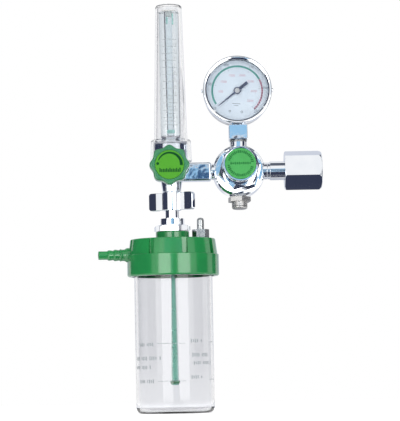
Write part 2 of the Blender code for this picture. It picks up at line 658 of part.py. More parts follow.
def build_bonnet(front, chrome, green, steel, rubber):
    corner = BONNET_FLATS / sqrt(3) + SLACK
    skirt = BONNET_THREAD_RADIUS - SLACK
    cavity = BONNET_CAVITY / 2
    chamber = CHAMBER_DIAMETER / 2
    recess = BADGE_DIAMETER / 2 + SLACK
    screw_hole = SCREW_DIAMETER / 2 + SLACK
    bonnet = turned("bonnet", [
        (chamber, SKIRT_BOTTOM),
        (skirt, SKIRT_BOTTOM),
        (skirt, HEX_BOTTOM),
        (corner, HEX_BOTTOM),
        (corner, HEX_TOP - BONNET_CHAMFER),
        (corner - BONNET_CHAMFER * 1.7, HEX_TOP),
        (BOSS_DIAMETER / 2, HEX_TOP),
        (BOSS_TIP_DIAMETER / 2, BOSS_TOP - BOSS_EDGE),
        (BOSS_TIP_DIAMETER / 2 - BOSS_EDGE / 2, BOSS_TOP),
        (recess, BOSS_TOP),
        (recess, BADGE_FLOOR),
        (screw_hole, BADGE_FLOOR),
        (screw_hole, FRONT_WALL_BACK),
        (cavity, FRONT_WALL_BACK),
        (cavity, HEX_BOTTOM),
        (chamber, HEX_BOTTOM - (chamber - cavity))], LARGE_ROUND, front, chrome)
    hexagonal(bonnet, BONNET_FLATS, SKIRT_BOTTOM, BOSS_TOP, front, BONNET_TURN)

    badge_back = BADGE_FLOOR + TOUCH
    turned("bonnet_badge", [
        (0, badge_back),
        (BADGE_DIAMETER / 2, badge_back),
        (BADGE_DIAMETER / 2, badge_back + BADGE_THICKNESS),
        (0, badge_back + BADGE_THICKNESS)], LARGE_ROUND, front, green)

    screw_front = BADGE_FLOOR - TOUCH
    screw = turned("adjusting_screw", [
        (0, SCREW_BACK),
        (SCREW_DIAMETER / 2 - TOUCH, SCREW_BACK),
        (SCREW_DIAMETER / 2, SCREW_BACK + TOUCH),
        (SCREW_DIAMETER / 2, screw_front),
        (0, screw_front)], SMALL_ROUND, front, steel)
    half = SCREW_SLOT_WIDTH / 2
    reach = SCREW_DIAMETER / 2 + CUT_PAST
    slot = add_object("adjusting_screw.slot", box_mesh(
        (-reach, -half, screw_front - SCREW_SLOT_DEPTH), (reach, half, screw_front + CUT_PAST)),
        front)
    combine(screw, slot, 'DIFFERENCE')

    spring_outer = (SPRING_DIAMETER + SPRING_WIRE) / 2
    spring_inner = (SPRING_DIAMETER - SPRING_WIRE) / 2
    plate_radius = min(spring_outer, cavity - SLACK)
    turned("spring_button", [
        (0, BUTTON_BACK - SPRING_PLATE_SPIGOT),
        (spring_inner - SLACK, BUTTON_BACK - SPRING_PLATE_SPIGOT),
        (spring_inner - SLACK, BUTTON_BACK),
        (plate_radius, BUTTON_BACK),
        (plate_radius, SCREW_BACK - TOUCH),
        (0, SCREW_BACK - TOUCH)], SMALL_ROUND, front, steel)
    turned("spring_plate", [
        (0, SLIP_RING_BOTTOM),
        (plate_radius, SLIP_RING_BOTTOM),
        (plate_radius, PLATE_TOP),
        (spring_inner - SLACK, PLATE_TOP),
        (spring_inner - SLACK, PLATE_TOP + SPRING_PLATE_SPIGOT),
        (0, PLATE_TOP + SPRING_PLATE_SPIGOT)], SMALL_ROUND, front, steel)
    coil("adjusting_spring", SPRING_DIAMETER, SPRING_WIRE, SPRING_TURNS, PLATE_TOP + TOUCH,
         BUTTON_BACK - TOUCH, front, steel)

    turned("slip_ring", [
        (chamber, SLIP_RING_BOTTOM),
        (skirt, SLIP_RING_BOTTOM),
        (skirt, SLIP_RING_BOTTOM + SLIP_RING_THICKNESS),
        (chamber, SLIP_RING_BOTTOM + SLIP_RING_THICKNESS)], MEDIUM_ROUND, front, steel)
    turned("diaphragm", [
        (0, DIAPHRAGM_BOTTOM),
        (skirt, DIAPHRAGM_BOTTOM),
        (skirt, DIAPHRAGM_BOTTOM + DIAPHRAGM_THICKNESS),
        (0, DIAPHRAGM_BOTTOM + DIAPHRAGM_THICKNESS)], MEDIUM_ROUND, front, rubber)


def build_main_valve(front, brass, steel):
    flange_back = CHAMBER_FLOOR + TOUCH
    spigot = VALVE_BORE / 2 - SLACK
    spigot_end = CHAMBER_FLOOR - NOZZLE_SPIGOT
    turned("valve_nozzle", [
        (NOZZLE_BORE / 2, spigot_end),
        (spigot, spigot_end),
        (spigot, flange_back),
        (NOZZLE_FLANGE_DIAMETER / 2, flange_back),
        (NOZZLE_FLANGE_DIAMETER / 2, flange_back + NOZZLE_FLANGE),
        (NOZZLE_BORE / 2, flange_back + NOZZLE_FLANGE)], SMALL_ROUND, front, brass)

    head_front = spigot_end - TOUCH
    head_back = head_front - POPPET_THICKNESS
    pin_tip = DIAPHRAGM_BOTTOM - TOUCH
    turned("valve_poppet", [
        (0, head_back),
        (POPPET_DIAMETER / 2, head_back),
        (POPPET_DIAMETER / 2, head_front),
        (POPPET_PIN / 2, head_front),
        (POPPET_PIN / 2, pin_tip),
        (0, pin_tip)], FINE_ROUND, front, brass)
    coil("return_spring", POPPET_DIAMETER - RETURN_WIRE, RETURN_WIRE, RETURN_TURNS,
         -BODY_BACK + VALVE_WALL + TOUCH, head_back - TOUCH, front, steel, 8, 4)


def build_relief(parent, nickel, brass, steel):
    down = make_frame("relief_axis", parent, (0, 0, 0), DOWNWARDS)
    flange_top = BODY_RADIUS + TOUCH
    flange_end = flange_top + RELIEF_FLANGE
    barrel_end = flange_end + RELIEF_BARREL
    corner = RELIEF_FLATS / sqrt(3) + SLACK
    bore = RELIEF_BORE / 2
    orifice = RELIEF_ORIFICE / 2
    seat = flange_top + RELIEF_SEAT_WALL
    spigot_end = BODY_RADIUS - SPIGOT_DEPTH
    barrel = RELIEF_BARREL_DIAMETER / 2
    relief = turned("relief_body", [
        (orifice, spigot_end),
        (SPIGOT_DIAMETER / 2, spigot_end),
        (SPIGOT_DIAMETER / 2, flange_top),
        (corner, flange_top),
        (corner, flange_end - TOUCH),
        (corner - TOUCH, flange_end),
        (barrel, flange_end),
        (barrel, barrel_end),
        (bore, barrel_end),
        (bore, seat),
        (orifice, seat)], MEDIUM_ROUND, down, nickel)
    hexagonal(relief, RELIEF_FLATS, spigot_end, barrel_end, down, RELIEF_TURN)

    poppet_end = seat + TOUCH + RELIEF_POPPET_THICKNESS
    turned("relief_poppet", [
        (0, seat + TOUCH),
        (bore - SLACK, seat + TOUCH),
        (bore - SLACK, poppet_end),
        (0, poppet_end)], FINE_ROUND, down, brass)

    cap_face = barrel_end + TOUCH
    plug_end = barrel_end - RELIEF_CAP_PLUG
    vent = RELIEF_VENT / 2
    turned("relief_cap", [
        (vent, plug_end),
        (bore - SLACK, plug_end),
        (bore - SLACK, cap_face),
        (barrel, cap_face),
        (barrel, cap_face + RELIEF_CAP_THICKNESS * 0.35),
        (barrel * 0.84, cap_face + RELIEF_CAP_THICKNESS),
        (vent, cap_face + RELIEF_CAP_THICKNESS)], SMALL_ROUND, down, nickel)
    coil("relief_spring", RELIEF_BORE - 2 * SLACK - 2 * RELIEF_WIRE, RELIEF_WIRE, RELIEF_TURNS,
         poppet_end + TOUCH, plug_end - TOUCH, down, steel, 8, 4)


def gear_outline(radius, teeth, first_angle, count):
    """Trapezoid teeth on an arc: the points run counter-clockwise from the first tooth."""
    pitch = 2 * pi / teeth
    outline = []
    for tooth in range(count):
        middle = first_angle + tooth * pitch
        for share, reach in ((-TOOTH_ROOT_SHARE, -TOOTH_DEDENDUM), (-TOOTH_TIP_SHARE, TOOTH_ADDENDUM),
                             (TOOTH_TIP_SHARE, TOOTH_ADDENDUM), (TOOTH_ROOT_SHARE, -TOOTH_DEDENDUM)):
            angle = middle + share * pitch
            distance = radius + reach
            outline.append((distance * cos(angle), distance * sin(angle)))
    return outline


def slot_outline(start, end, radius, sides=SMALL_ROUND):
    """A slot with round ends between two points."""
    along = atan2(end[1] - start[1], end[0] - start[0])
    half = sides // 2
    outline = []
    for centre, first in ((start, along + pi / 2), (end, along - pi / 2)):
        for step in range(half + 1):
            angle = first + pi * step / half
            outline.append((centre[0] + radius * cos(angle), centre[1] + radius * sin(angle)))
    return outline


def build_gauge_shell(gauge, front, chrome, brass, clear, dial_white, copper):
    """Socket, washer, case, bezel, window, dial and the two bezel screws."""
    centre = CASE_DIAMETER / 2
    square_top = -BEZEL_DIAMETER / 2 - TOUCH
    square_bottom = square_top - SQUARE_LENGTH
    half = SQUARE_WIDTH / 2
    shank_top = -SHANK_TOP_BELOW_CENTRE
    upwards = (-pi / 2, 0, 0)
    edge = TOUCH * 2
    outline = [(-half, -half + edge), (-half + edge, -half), (half - edge, -half),
               (half, -half + edge), (half, half - edge), (half - edge, half),
               (-half + edge, half), (-half, half - edge)]
    socket = add_object("gauge_socket", prism_mesh(outline, square_bottom, square_top), gauge,
                        brass, (0, 0, 0), upwards)
    shank = add_object("gauge_socket.shank", box_mesh(
        (-SHANK_WIDTH / 2, -SHANK_FRONT, square_top - CUT_PAST),
        (SHANK_WIDTH / 2, SHANK_BACK, shank_top)), gauge, None, (0, 0, 0), upwards)
    combine(socket, shank, 'UNION')
    spigot_end = square_bottom - TOUCH - GAUGE_WASHER - TOUCH - GAUGE_BOSS - SPIGOT_DEPTH
    spigot = add_object("gauge_socket.spigot", prism_mesh(
        ring_outline(SPIGOT_DIAMETER / 2, SMALL_ROUND), spigot_end, square_bottom + CUT_PAST),
        gauge, None, (0, 0, 0), upwards)
    combine(socket, spigot, 'UNION')
    drill(socket, "gauge_socket.bore", GAUGE_BORE / 2, spigot_end - CUT_PAST,
          shank_top - CUT_PAST * 2, gauge, (0, 0, 0), upwards)
    # The bore turns left into the Bourdon tube's root
    drill(socket, "gauge_socket.outlet", GAUGE_BORE / 3, 0, SHANK_WIDTH / 2 + CUT_PAST, gauge,
          (0, shank_top - CUT_PAST * 3, 0), (0, -pi / 2, 0))

    washer_top = square_bottom - TOUCH
    turned("gauge_washer", [
        (SPIGOT_DIAMETER / 2 + SLACK, washer_top - GAUGE_WASHER),
        (GAUGE_BOSS_DIAMETER / 2, washer_top - GAUGE_WASHER),
        (GAUGE_BOSS_DIAMETER / 2, washer_top),
        (SPIGOT_DIAMETER / 2 + SLACK, washer_top)], SMALL_ROUND, gauge, copper, (0, 0, 0), upwards)

    inner = centre - CASE_WALL
    case = turned("gauge_case", [
        (0, -CASE_BACK),
        (centre - CASE_ROUNDING, -CASE_BACK),
        (centre - CASE_ROUNDING * 0.3, -CASE_BACK + CASE_ROUNDING * 0.3),
        (centre, -CASE_BACK + CASE_ROUNDING),
        (centre, CASE_FRONT),
        (inner, CASE_FRONT),
        (inner, -CASE_BACK + CASE_ROUNDING),
        (centre - CASE_ROUNDING, -CASE_BACK + CASE_WALL),
        (0, -CASE_BACK + CASE_WALL)], LARGE_ROUND, gauge, chrome)
    opening = add_object("gauge_case.opening", box_mesh(
        (-SHANK_WIDTH / 2 - SLACK, -centre - CUT_PAST, -SHANK_BACK - SLACK),
        (SHANK_WIDTH / 2 + SLACK, -inner + CASE_ROUNDING, SHANK_FRONT + SLACK)), gauge)
    combine(case, opening, 'DIFFERENCE')

    window_back = CASE_FRONT + TOUCH
    window_front = window_back + WINDOW_THICKNESS
    lip_back = window_front + TOUCH
    lip_front = lip_back + BEZEL_LIP
    outer = BEZEL_DIAMETER / 2
    sleeve = centre + SLACK
    bezel_back = CASE_FRONT - BEZEL_OVERLAP
    bezel = turned("gauge_bezel", [
        (sleeve, bezel_back),
        (outer - BEZEL_ROUNDING / 3, bezel_back),
        (outer, bezel_back + BEZEL_ROUNDING / 2),
        (outer, lip_front - BEZEL_ROUNDING * 1.6),
        (outer - BEZEL_ROUNDING, lip_front - BEZEL_ROUNDING * 0.35),
        (outer - BEZEL_ROUNDING * 1.9, lip_front),
        (BEZEL_OPENING / 2, lip_front - BEZEL_ROUNDING * 0.6),
        (BEZEL_OPENING / 2, lip_back),
        (sleeve, lip_back)], LARGE_ROUND, gauge, chrome)
    turned("gauge_window", [
        (0, window_back),
        (centre - SLACK, window_back),
        (centre - SLACK, window_front),
        (0, window_front)], LARGE_ROUND, gauge, clear)

    arbor_hole = ARBOR_DIAMETER / 2 + SLACK
    turned("gauge_dial", [
        (arbor_hole, DIAL_FRONT - DIAL_THICKNESS),
        (inner - SLACK, DIAL_FRONT - DIAL_THICKNESS),
        (inner - SLACK, DIAL_FRONT),
        (arbor_hole, DIAL_FRONT)], LARGE_ROUND, gauge, dial_white, (0, 0, 0),
        (0, 0, -radians(DIAL_TURN)))

    # Two round-headed screws hold the bezel on the case at its sides
    screw_plane = bezel_back + BEZEL_OVERLAP / 2
    for side, tilt in (("left", -pi / 2), ("right", pi / 2)):
        shank_end = centre - CASE_WALL
        turned("bezel_screw_" + side, [
            (0, shank_end),
            (BEZEL_SCREW_SHANK / 2, shank_end),
            (BEZEL_SCREW_SHANK / 2, outer + TOUCH),
            (BEZEL_SCREW_DIAMETER / 2, outer + TOUCH),
            (BEZEL_SCREW_DIAMETER / 2, outer + TOUCH + BEZEL_SCREW_HEAD * 0.5),
            (BEZEL_SCREW_DIAMETER / 4, outer + TOUCH + BEZEL_SCREW_HEAD),
            (0, outer + TOUCH + BEZEL_SCREW_HEAD)], FINE_ROUND, gauge, chrome,
            (0, 0, screw_plane), (0, tilt, 0))
        for target in (case, bezel):
            drill(target, target.name + "_hole_" + side, BEZEL_SCREW_SHANK / 2 + SLACK,
                  shank_end - CUT_PAST, outer + CUT_PAST, gauge, (0, 0, screw_plane),
                  (0, tilt, 0))


def build_pointer(gauge, navy, brass):
    pointer_back = DIAL_FRONT + POINTER_CLEARANCE
    half_tail = POINTER_TAIL_WIDTH / 2
    half_tip = POINTER_TIP_WIDTH / 2
    hub = HUB_DIAMETER / 2
    zero = (0, 0, radians(POINTER_ZERO - DIAL_TURN))
    outline = [(-POINTER_TAIL, half_tail), (-POINTER_TAIL, -half_tail), (-hub, -half_tail),
               (hub, -half_tip * 2), (POINTER_REACH - hub, -half_tip), (POINTER_REACH, 0),
               (POINTER_REACH - hub, half_tip), (hub, half_tip * 2), (-hub, half_tail)]
    pointer = add_object("gauge_pointer", prism_mesh(
        outline, pointer_back, pointer_back + POINTER_THICKNESS), gauge, navy, (0, 0, 0), zero)
    boss = turned("gauge_pointer.hub", [
        (0, pointer_back - TOUCH),
        (hub, pointer_back - TOUCH),
        (hub, pointer_back - TOUCH + HUB_THICKNESS * 0.6),
        (hub * 0.5, pointer_back - TOUCH + HUB_THICKNESS),
        (0, pointer_back - TOUCH + HUB_THICKNESS)], SMALL_ROUND, gauge)
    combine(pointer, boss, 'UNION')

    arbor_front = pointer_back - 2 * TOUCH
    arbor_back = BACK_PLATE_PLANE - TOUCH
    arbor = add_object("pinion_arbor", prism_mesh(
        gear_outline(PINION_RADIUS, PINION_TEETH, radians(SECTOR_DIRECTION), PINION_TEETH),
        GEAR_PLANE - (PINION_THICKNESS - GEAR_THICKNESS) / 2,
        GEAR_PLANE + (PINION_THICKNESS + GEAR_THICKNESS) / 2), gauge, brass)
    shaft = add_object("pinion_arbor.shaft", prism_mesh(
        ring_outline(ARBOR_DIAMETER / 2, FINE_ROUND), arbor_back, arbor_front), gauge)
    combine(arbor, shaft, 'UNION')


def build_movement(gauge, brass, copper):
    """Plates, sector gear, link and the Bourdon tube with its tip."""
    pivot_x, pivot_y = SECTOR_PIVOT
    gear_pitch = 360.0 / SECTOR_FULL_TEETH
    facing = SECTOR_DIRECTION + 180.0
    first_tooth = radians(facing - (SECTOR_TEETH - 3) * gear_pitch - gear_pitch / 2)
    rim = gear_outline(SECTOR_RADIUS, SECTOR_FULL_TEETH, first_tooth, SECTOR_TEETH)
    tail_angle = radians(SECTOR_DIRECTION)
    tail = (SECTOR_TAIL * cos(tail_angle), SECTOR_TAIL * sin(tail_angle))
    hub = SECTOR_SHAFT_DIAMETER
    hub_arc = [(hub * cos(tail_angle + offset), hub * sin(tail_angle + offset))
               for offset in (-pi / 2, pi / 2)]
    eye = LINK_PIN
    tail_arc = [(tail[0] + eye * cos(tail_angle + offset), tail[1] + eye * sin(tail_angle + offset))
                for offset in (-pi / 2, -pi / 4, 0, pi / 4, pi / 2)]
    outline = rim + [hub_arc[0]] + tail_arc + [hub_arc[1]]
    sector = add_object("sector_gear", prism_mesh(outline, GEAR_PLANE, GEAR_PLANE + GEAR_THICKNESS),
                        gauge, brass, (pivot_x, pivot_y, 0))
    shaft = add_object("sector_gear.shaft", prism_mesh(
        ring_outline(SECTOR_SHAFT_DIAMETER / 2, FINE_ROUND), BACK_PLATE_PLANE - TOUCH,
        FRONT_PLATE_PLANE + PLATE_THICKNESS), gauge, None, (pivot_x, pivot_y, 0))
    combine(sector, shaft, 'UNION')
    link_front = GEAR_PLANE - TOUCH
    link_back = link_front - LINK_THICKNESS
    tail_x = pivot_x + tail[0]
    tail_y = pivot_y + tail[1]
    pin = add_object("sector_gear.pin", prism_mesh(
        ring_outline(LINK_PIN / 2, FINE_ROUND), link_back - TOUCH, GEAR_PLANE + TOUCH), gauge,
        None, (tail_x, tail_y, 0))
    combine(sector, pin, 'UNION')

    # The link lies along the chord that its pin on the sector's tail travels
    swung = tail_angle + radians(SECTOR_SWEEP)
    chord = (SECTOR_TAIL * cos(swung) - tail[0], SECTOR_TAIL * sin(swung) - tail[1])
    travel = hypot(*chord)
    along = (chord[0] / travel, chord[1] / travel)
    far = (along[0] * LINK_LENGTH, along[1] * LINK_LENGTH)
    link = add_object("gauge_link", prism_mesh(
        slot_outline((0, 0), far, LINK_WIDTH / 2, FINE_ROUND), link_back, link_front), gauge,
        brass, (tail_x, tail_y, 0))
    hole = LINK_PIN / 2 + LINK_PIN_SLACK
    drill(link, "gauge_link.eye", hole, link_back - CUT_PAST, link_front + CUT_PAST, gauge,
          (tail_x, tail_y, 0))
    drill(link, "gauge_link.far_eye", LINK_PIN / 2 + SLACK, link_back - CUT_PAST,
          link_front + CUT_PAST, gauge, (tail_x + far[0], tail_y + far[1], 0))

    # Bourdon tube, an oval tube bent round most of the case
    shank_side = SHANK_WIDTH / 2 + TOUCH
    root_angle = pi + atan2(sqrt(TUBE_CENTRE_RADIUS ** 2 - shank_side ** 2), shank_side)
    root_angle -= TOUCH / TUBE_CENTRE_RADIUS + (TUBE_RADIAL / 2) / TUBE_CENTRE_RADIUS * 0.35
    end_angle = radians(TUBE_END_ANGLE)
    bm = bmesh.new()
    loops = []
    for inset in (0, TUBE_WALL):
        half_depth = TUBE_DEPTH / 2 - inset
        half_radial = TUBE_RADIAL / 2 - inset
        points = [bm.verts.new((TUBE_CENTRE_RADIUS + half_radial * cos(2 * pi * step / 8), 0,
                                GEAR_PLANE + half_depth * sin(2 * pi * step / 8)))
                  for step in range(8)]
        loops += [bm.edges.new((points[step - 1], points[step])) for step in range(8)]
    section = bmesh.ops.bridge_loops(bm, edges=loops)["faces"]
    bmesh.ops.rotate(bm, verts=bm.verts, matrix=Matrix.Rotation(end_angle, 3, 'Z'))
    bmesh.ops.spin(bm, geom=section, cent=(0, 0, 0), axis=(0, 0, 1),
                   angle=root_angle - end_angle, steps=18)
    add_object("bourdon_tube", bm, gauge, copper)

    # The tip closes the tube's end and carries the link's far pin
    tip_x = tail_x + far[0]
    tip_y = tail_y + far[1]
    gap_angle = end_angle - TOUCH / TUBE_CENTRE_RADIUS
    low_angle = gap_angle - TIP_LENGTH / TUBE_CENTRE_RADIUS
    outer = TUBE_CENTRE_RADIUS + TUBE_RADIAL / 2
    lug = LINK_PIN
    tip_front = link_back - TOUCH
    tip_outline = [(outer * cos(gap_angle), outer * sin(gap_angle)),
                   (tip_x, tip_y + lug), (tip_x - lug, tip_y), (tip_x, tip_y - lug),
                   (outer * cos(low_angle), outer * sin(low_angle))]
    tip = add_object("bourdon_tip", prism_mesh(tip_outline, tip_front - TUBE_DEPTH / 4, tip_front),
                     gauge, brass)
    tip_pin = add_object("bourdon_tip.pin", prism_mesh(
        ring_outline(LINK_PIN / 2, FINE_ROUND), tip_front - TOUCH, GEAR_PLANE - TOUCH / 2), gauge,
        None, (tip_x, tip_y, 0))
    combine(tip, tip_pin, 'UNION')

    # Two plates on pillars stand on the socket's shank and carry the shafts
    foot = -SHANK_TOP_BELOW_CENTRE + TOUCH
    left = -SHANK_WIDTH / 2
    right = pivot_x + SECTOR_SHAFT_DIAMETER * 1.2
    top = PINION_RADIUS * 2.4
    plate = [(left, foot), (SHANK_WIDTH / 2, foot), (right, pivot_y - SECTOR_SHAFT_DIAMETER),
             (right, pivot_y + SECTOR_SHAFT_DIAMETER), (PINION_RADIUS * 2, top), (left, top)]
    frame = add_object("movement_frame", prism_mesh(
        plate, BACK_PLATE_PLANE, BACK_PLATE_PLANE + PLATE_THICKNESS), gauge, brass)
    front_plate = add_object("movement_frame.front", prism_mesh(
        plate, FRONT_PLATE_PLANE, FRONT_PLATE_PLANE + PLATE_THICKNESS), gauge)
    combine(frame, front_plate, 'UNION')
    inset = PILLAR_DIAMETER * 0.75
    for name, place in (("low", (left + inset, foot + inset)), ("high", (left + inset, top - inset))):
        pillar = add_object("movement_frame.pillar_" + name, prism_mesh(
            ring_outline(PILLAR_DIAMETER / 2, FINE_ROUND),
            BACK_PLATE_PLANE + PLATE_THICKNESS / 2, FRONT_PLATE_PLANE + PLATE_THICKNESS / 2),
            gauge, None, (*place, 0))
        combine(frame, pillar, 'UNION')
    for name, diameter, place in (("arbor", ARBOR_DIAMETER, (0, 0)),
                                  ("sector", SECTOR_SHAFT_DIAMETER, SECTOR_PIVOT)):
        drill(frame, "movement_frame.hole_" + name, diameter / 2 + SLACK,
              BACK_PLATE_PLANE - CUT_PAST, FRONT_PLATE_PLANE + PLATE_THICKNESS + CUT_PAST, gauge,
              (*place, 0))


def build_flow_block(flow, chrome):
    radius = BLOCK_DIAMETER / 2
    shoulder = CONE_TOP_DIAMETER / 2
    socket = TUBE_BOSS_DIAMETER / 2
    boss_bore = FLOW_BORE_BOTTOM / 2 + FLOW_TUBE_SPIGOT_WALL + SLACK
    socket_floor = BOSS_FACE - FLOW_TUBE_SPIGOT
    outlet = OUTLET_BORE / 2
    outlet_roof = RETURN_FLOOR + RETURN_BORE / 2
    block = turned("flow_block", [
        (0, outlet_roof),
        (outlet, outlet_roof),
        (outlet, OUTLET_END),
        (OUTLET_THREAD / 2, OUTLET_END),
        (OUTLET_THREAD / 2, CONE_BOTTOM),
        (CONE_BOTTOM_DIAMETER / 2, CONE_BOTTOM),
        (shoulder, CONE_BOTTOM + CONE_LENGTH),
        (radius - CONE_SHOULDER * 0.6, -BLOCK_BOTTOM - CONE_SHOULDER * 0.6),
        (radius, -BLOCK_BOTTOM),
        (radius, BLOCK_TOP),
        (socket, BLOCK_TOP),
        (socket, BOSS_FACE),
        (boss_bore, BOSS_FACE),
        (boss_bore, socket_floor),
        (0, socket_floor)], LARGE_ROUND, flow, chrome)

    half = ARM_SIZE / 2
    edge = ARM_EDGE
    outline = [(-half + edge, -half), (half - edge, -half), (half - edge * 0.3, -half + edge * 0.3),
               (half, -half + edge), (half, half - edge), (half - edge * 0.3, half - edge * 0.3),
               (half - edge, half), (-half + edge, half), (-half + edge * 0.3, half - edge * 0.3),
               (-half, half - edge), (-half, -half + edge), (-half + edge * 0.3, -half + edge * 0.3)]
    arm = add_object("flow_block.arm", prism_mesh(outline, outlet + CUT_PAST * 2, ARM_LENGTH),
                     flow, None, (0, 0, 0), ALONG_X)
    combine(block, arm, 'UNION')
    spigot_end = ARM_LENGTH + TOUCH + OUTLET_BOSS + SPIGOT_DEPTH
    spigot = add_object("flow_block.spigot", prism_mesh(
        ring_outline(SPIGOT_DIAMETER / 2, SMALL_ROUND), ARM_LENGTH - CUT_PAST, spigot_end), flow,
        None, (0, 0, 0), ALONG_X)
    combine(block, spigot, 'UNION')

    # Gas comes in along the arm, passes the needle and rises to the flow tube
    needle = (NEEDLE_OFFSET, 0, NEEDLE_HEIGHT)
    drill(block, "flow_block.supply", SUPPLY_BORE / 2, NEEDLE_OFFSET, spigot_end + CUT_PAST, flow,
          (0, -SUPPLY_FORWARD, SUPPLY_HEIGHT), ALONG_X)
    drill(block, "flow_block.cavity", SPINDLE_CAVITY / 2, SEAT_PLANE, radius + CUT_PAST, flow,
          needle, FACE_FRONT, SMALL_ROUND)
    drill(block, "flow_block.gland", GLAND_BORE / 2, GLAND_FLOOR, radius + CUT_PAST, flow,
          needle, FACE_FRONT, SMALL_ROUND)
    drill(block, "flow_block.seat", SEAT_BORE / 2, -RISER_SETBACK, SEAT_PLANE + CUT_PAST, flow,
          needle, FACE_FRONT)
    drill(block, "flow_block.riser", RISER_BORE / 2, NEEDLE_HEIGHT, socket_floor + CUT_PAST, flow,
          (0, RISER_SETBACK, 0))
    # It comes back down between the tube and the cover to the outlet
    drill(block, "flow_block.return", RETURN_BORE / 2, RETURN_FLOOR, BLOCK_TOP + CUT_PAST, flow,
          (-RETURN_RADIUS, 0, 0))
    drill(block, "flow_block.crossing", RETURN_BORE / 2, 0, RETURN_RADIUS, flow,
          (0, 0, RETURN_FLOOR), (0, -pi / 2, 0))


def build_needle_valve(flow, chrome, brass, packing_white, green, bright_green):
    needle = make_frame("needle_axis", flow, (NEEDLE_OFFSET, 0, NEEDLE_HEIGHT), FACE_FRONT)
    shaft = SPINDLE_DIAMETER / 2
    cone_top = SEAT_PLANE + NEEDLE_LENGTH
    thread = SPINDLE_CAVITY / 2 - SLACK
    thread_top = cone_top + SPINDLE_THREAD_LENGTH
    knob_floor = KNOB_FRONT - KNOB_FRONT_WALL
    turned("needle_spindle", [
        (0, SEAT_PLANE - TOUCH),
        (NEEDLE_TIP / 2, SEAT_PLANE - TOUCH),
        (shaft, cone_top),
        (thread, cone_top),
        (thread, thread_top),
        (shaft, thread_top),
        (shaft, knob_floor - TOUCH),
        (0, knob_floor - TOUCH)], FINE_ROUND, needle, brass)

    hole = shaft + SLACK
    plug = GLAND_BORE / 2 - SLACK
    packing_back = GLAND_FLOOR + TOUCH
    packing_front = packing_back + PACKING_THICKNESS
    turned("gland_packing", [
        (hole, packing_back),
        (plug, packing_back),
        (plug, packing_front),
        (hole, packing_front)], FINE_ROUND, needle, packing_white)
    seat = BLOCK_DIAMETER / 2 + TOUCH
    corner = GLAND_FLATS / sqrt(3) + SLACK
    gland = turned("gland_nut", [
        (hole, packing_front + TOUCH),
        (plug, packing_front + TOUCH),
        (plug, seat),
        (corner, seat),
        (corner, GLAND_TOP),
        (hole, GLAND_TOP)], FINE_ROUND, needle, chrome)
    hexagonal(gland, GLAND_FLATS, packing_front, GLAND_TOP, needle)

    # Lobed knob, hollow behind, with a hub for the spindle and a recess for its badge
    mean = (KNOB_DIAMETER - KNOB_VALLEY) / 2
    points = KNOB_LOBES * KNOB_POINTS_PER_LOBE
    def lobed(shrink):
        outline = []
        for step in range(points):
            angle = 2 * pi * step / points
            distance = mean + KNOB_VALLEY / 2 * cos(KNOB_LOBES * angle) - shrink
            outline.append((distance * cos(angle), distance * sin(angle)))
        return outline
    bm = bmesh.new()
    loops = []
    for shrink, height in ((KNOB_EDGE / 2, KNOB_BACK), (0, KNOB_BACK + KNOB_EDGE / 2),
                           (0, KNOB_FRONT - KNOB_EDGE), (KNOB_EDGE, KNOB_FRONT)):
        ring = [bm.verts.new((x, y, height)) for x, y in lobed(shrink)]
        loops.append([bm.edges.new((ring[step - 1], ring[step])) for step in range(points)])
        if height in (KNOB_BACK, KNOB_FRONT):
            bm.faces.new(ring)
    for lower, upper in zip(loops, loops[1:]):
        bmesh.ops.bridge_loops(bm, edges=lower + upper)
    knob = add_object("flow_knob", bm, needle, green)
    badge_floor = KNOB_FRONT - KNOB_BADGE_THICKNESS - TOUCH
    drill(knob, "flow_knob.recess", KNOB_BADGE_DIAMETER / 2 + SLACK, badge_floor,
          KNOB_FRONT + CUT_PAST, needle, (0, 0, 0), (0, 0, 0), MEDIUM_ROUND)
    hub = hole + KNOB_HUB_WALL
    hollow = turned("flow_knob.hollow", [
        (hub, KNOB_BACK - CUT_PAST),
        (mean - KNOB_VALLEY / 2 - KNOB_WALL, KNOB_BACK - CUT_PAST),
        (mean - KNOB_VALLEY / 2 - KNOB_WALL, knob_floor - KNOB_WALL),
        (hub, knob_floor - KNOB_WALL)], SMALL_ROUND, needle)
    combine(knob, hollow, 'DIFFERENCE')
    drill(knob, "flow_knob.bore", hole, KNOB_BACK - CUT_PAST, knob_floor, needle)

    turned("knob_badge", [
        (0, badge_floor + TOUCH),
        (KNOB_BADGE_DIAMETER / 2, badge_floor + TOUCH),
        (KNOB_BADGE_DIAMETER / 2, badge_floor + TOUCH + KNOB_BADGE_THICKNESS),
        (0, badge_floor + TOUCH + KNOB_BADGE_THICKNESS)], MEDIUM_ROUND, needle, bright_green)


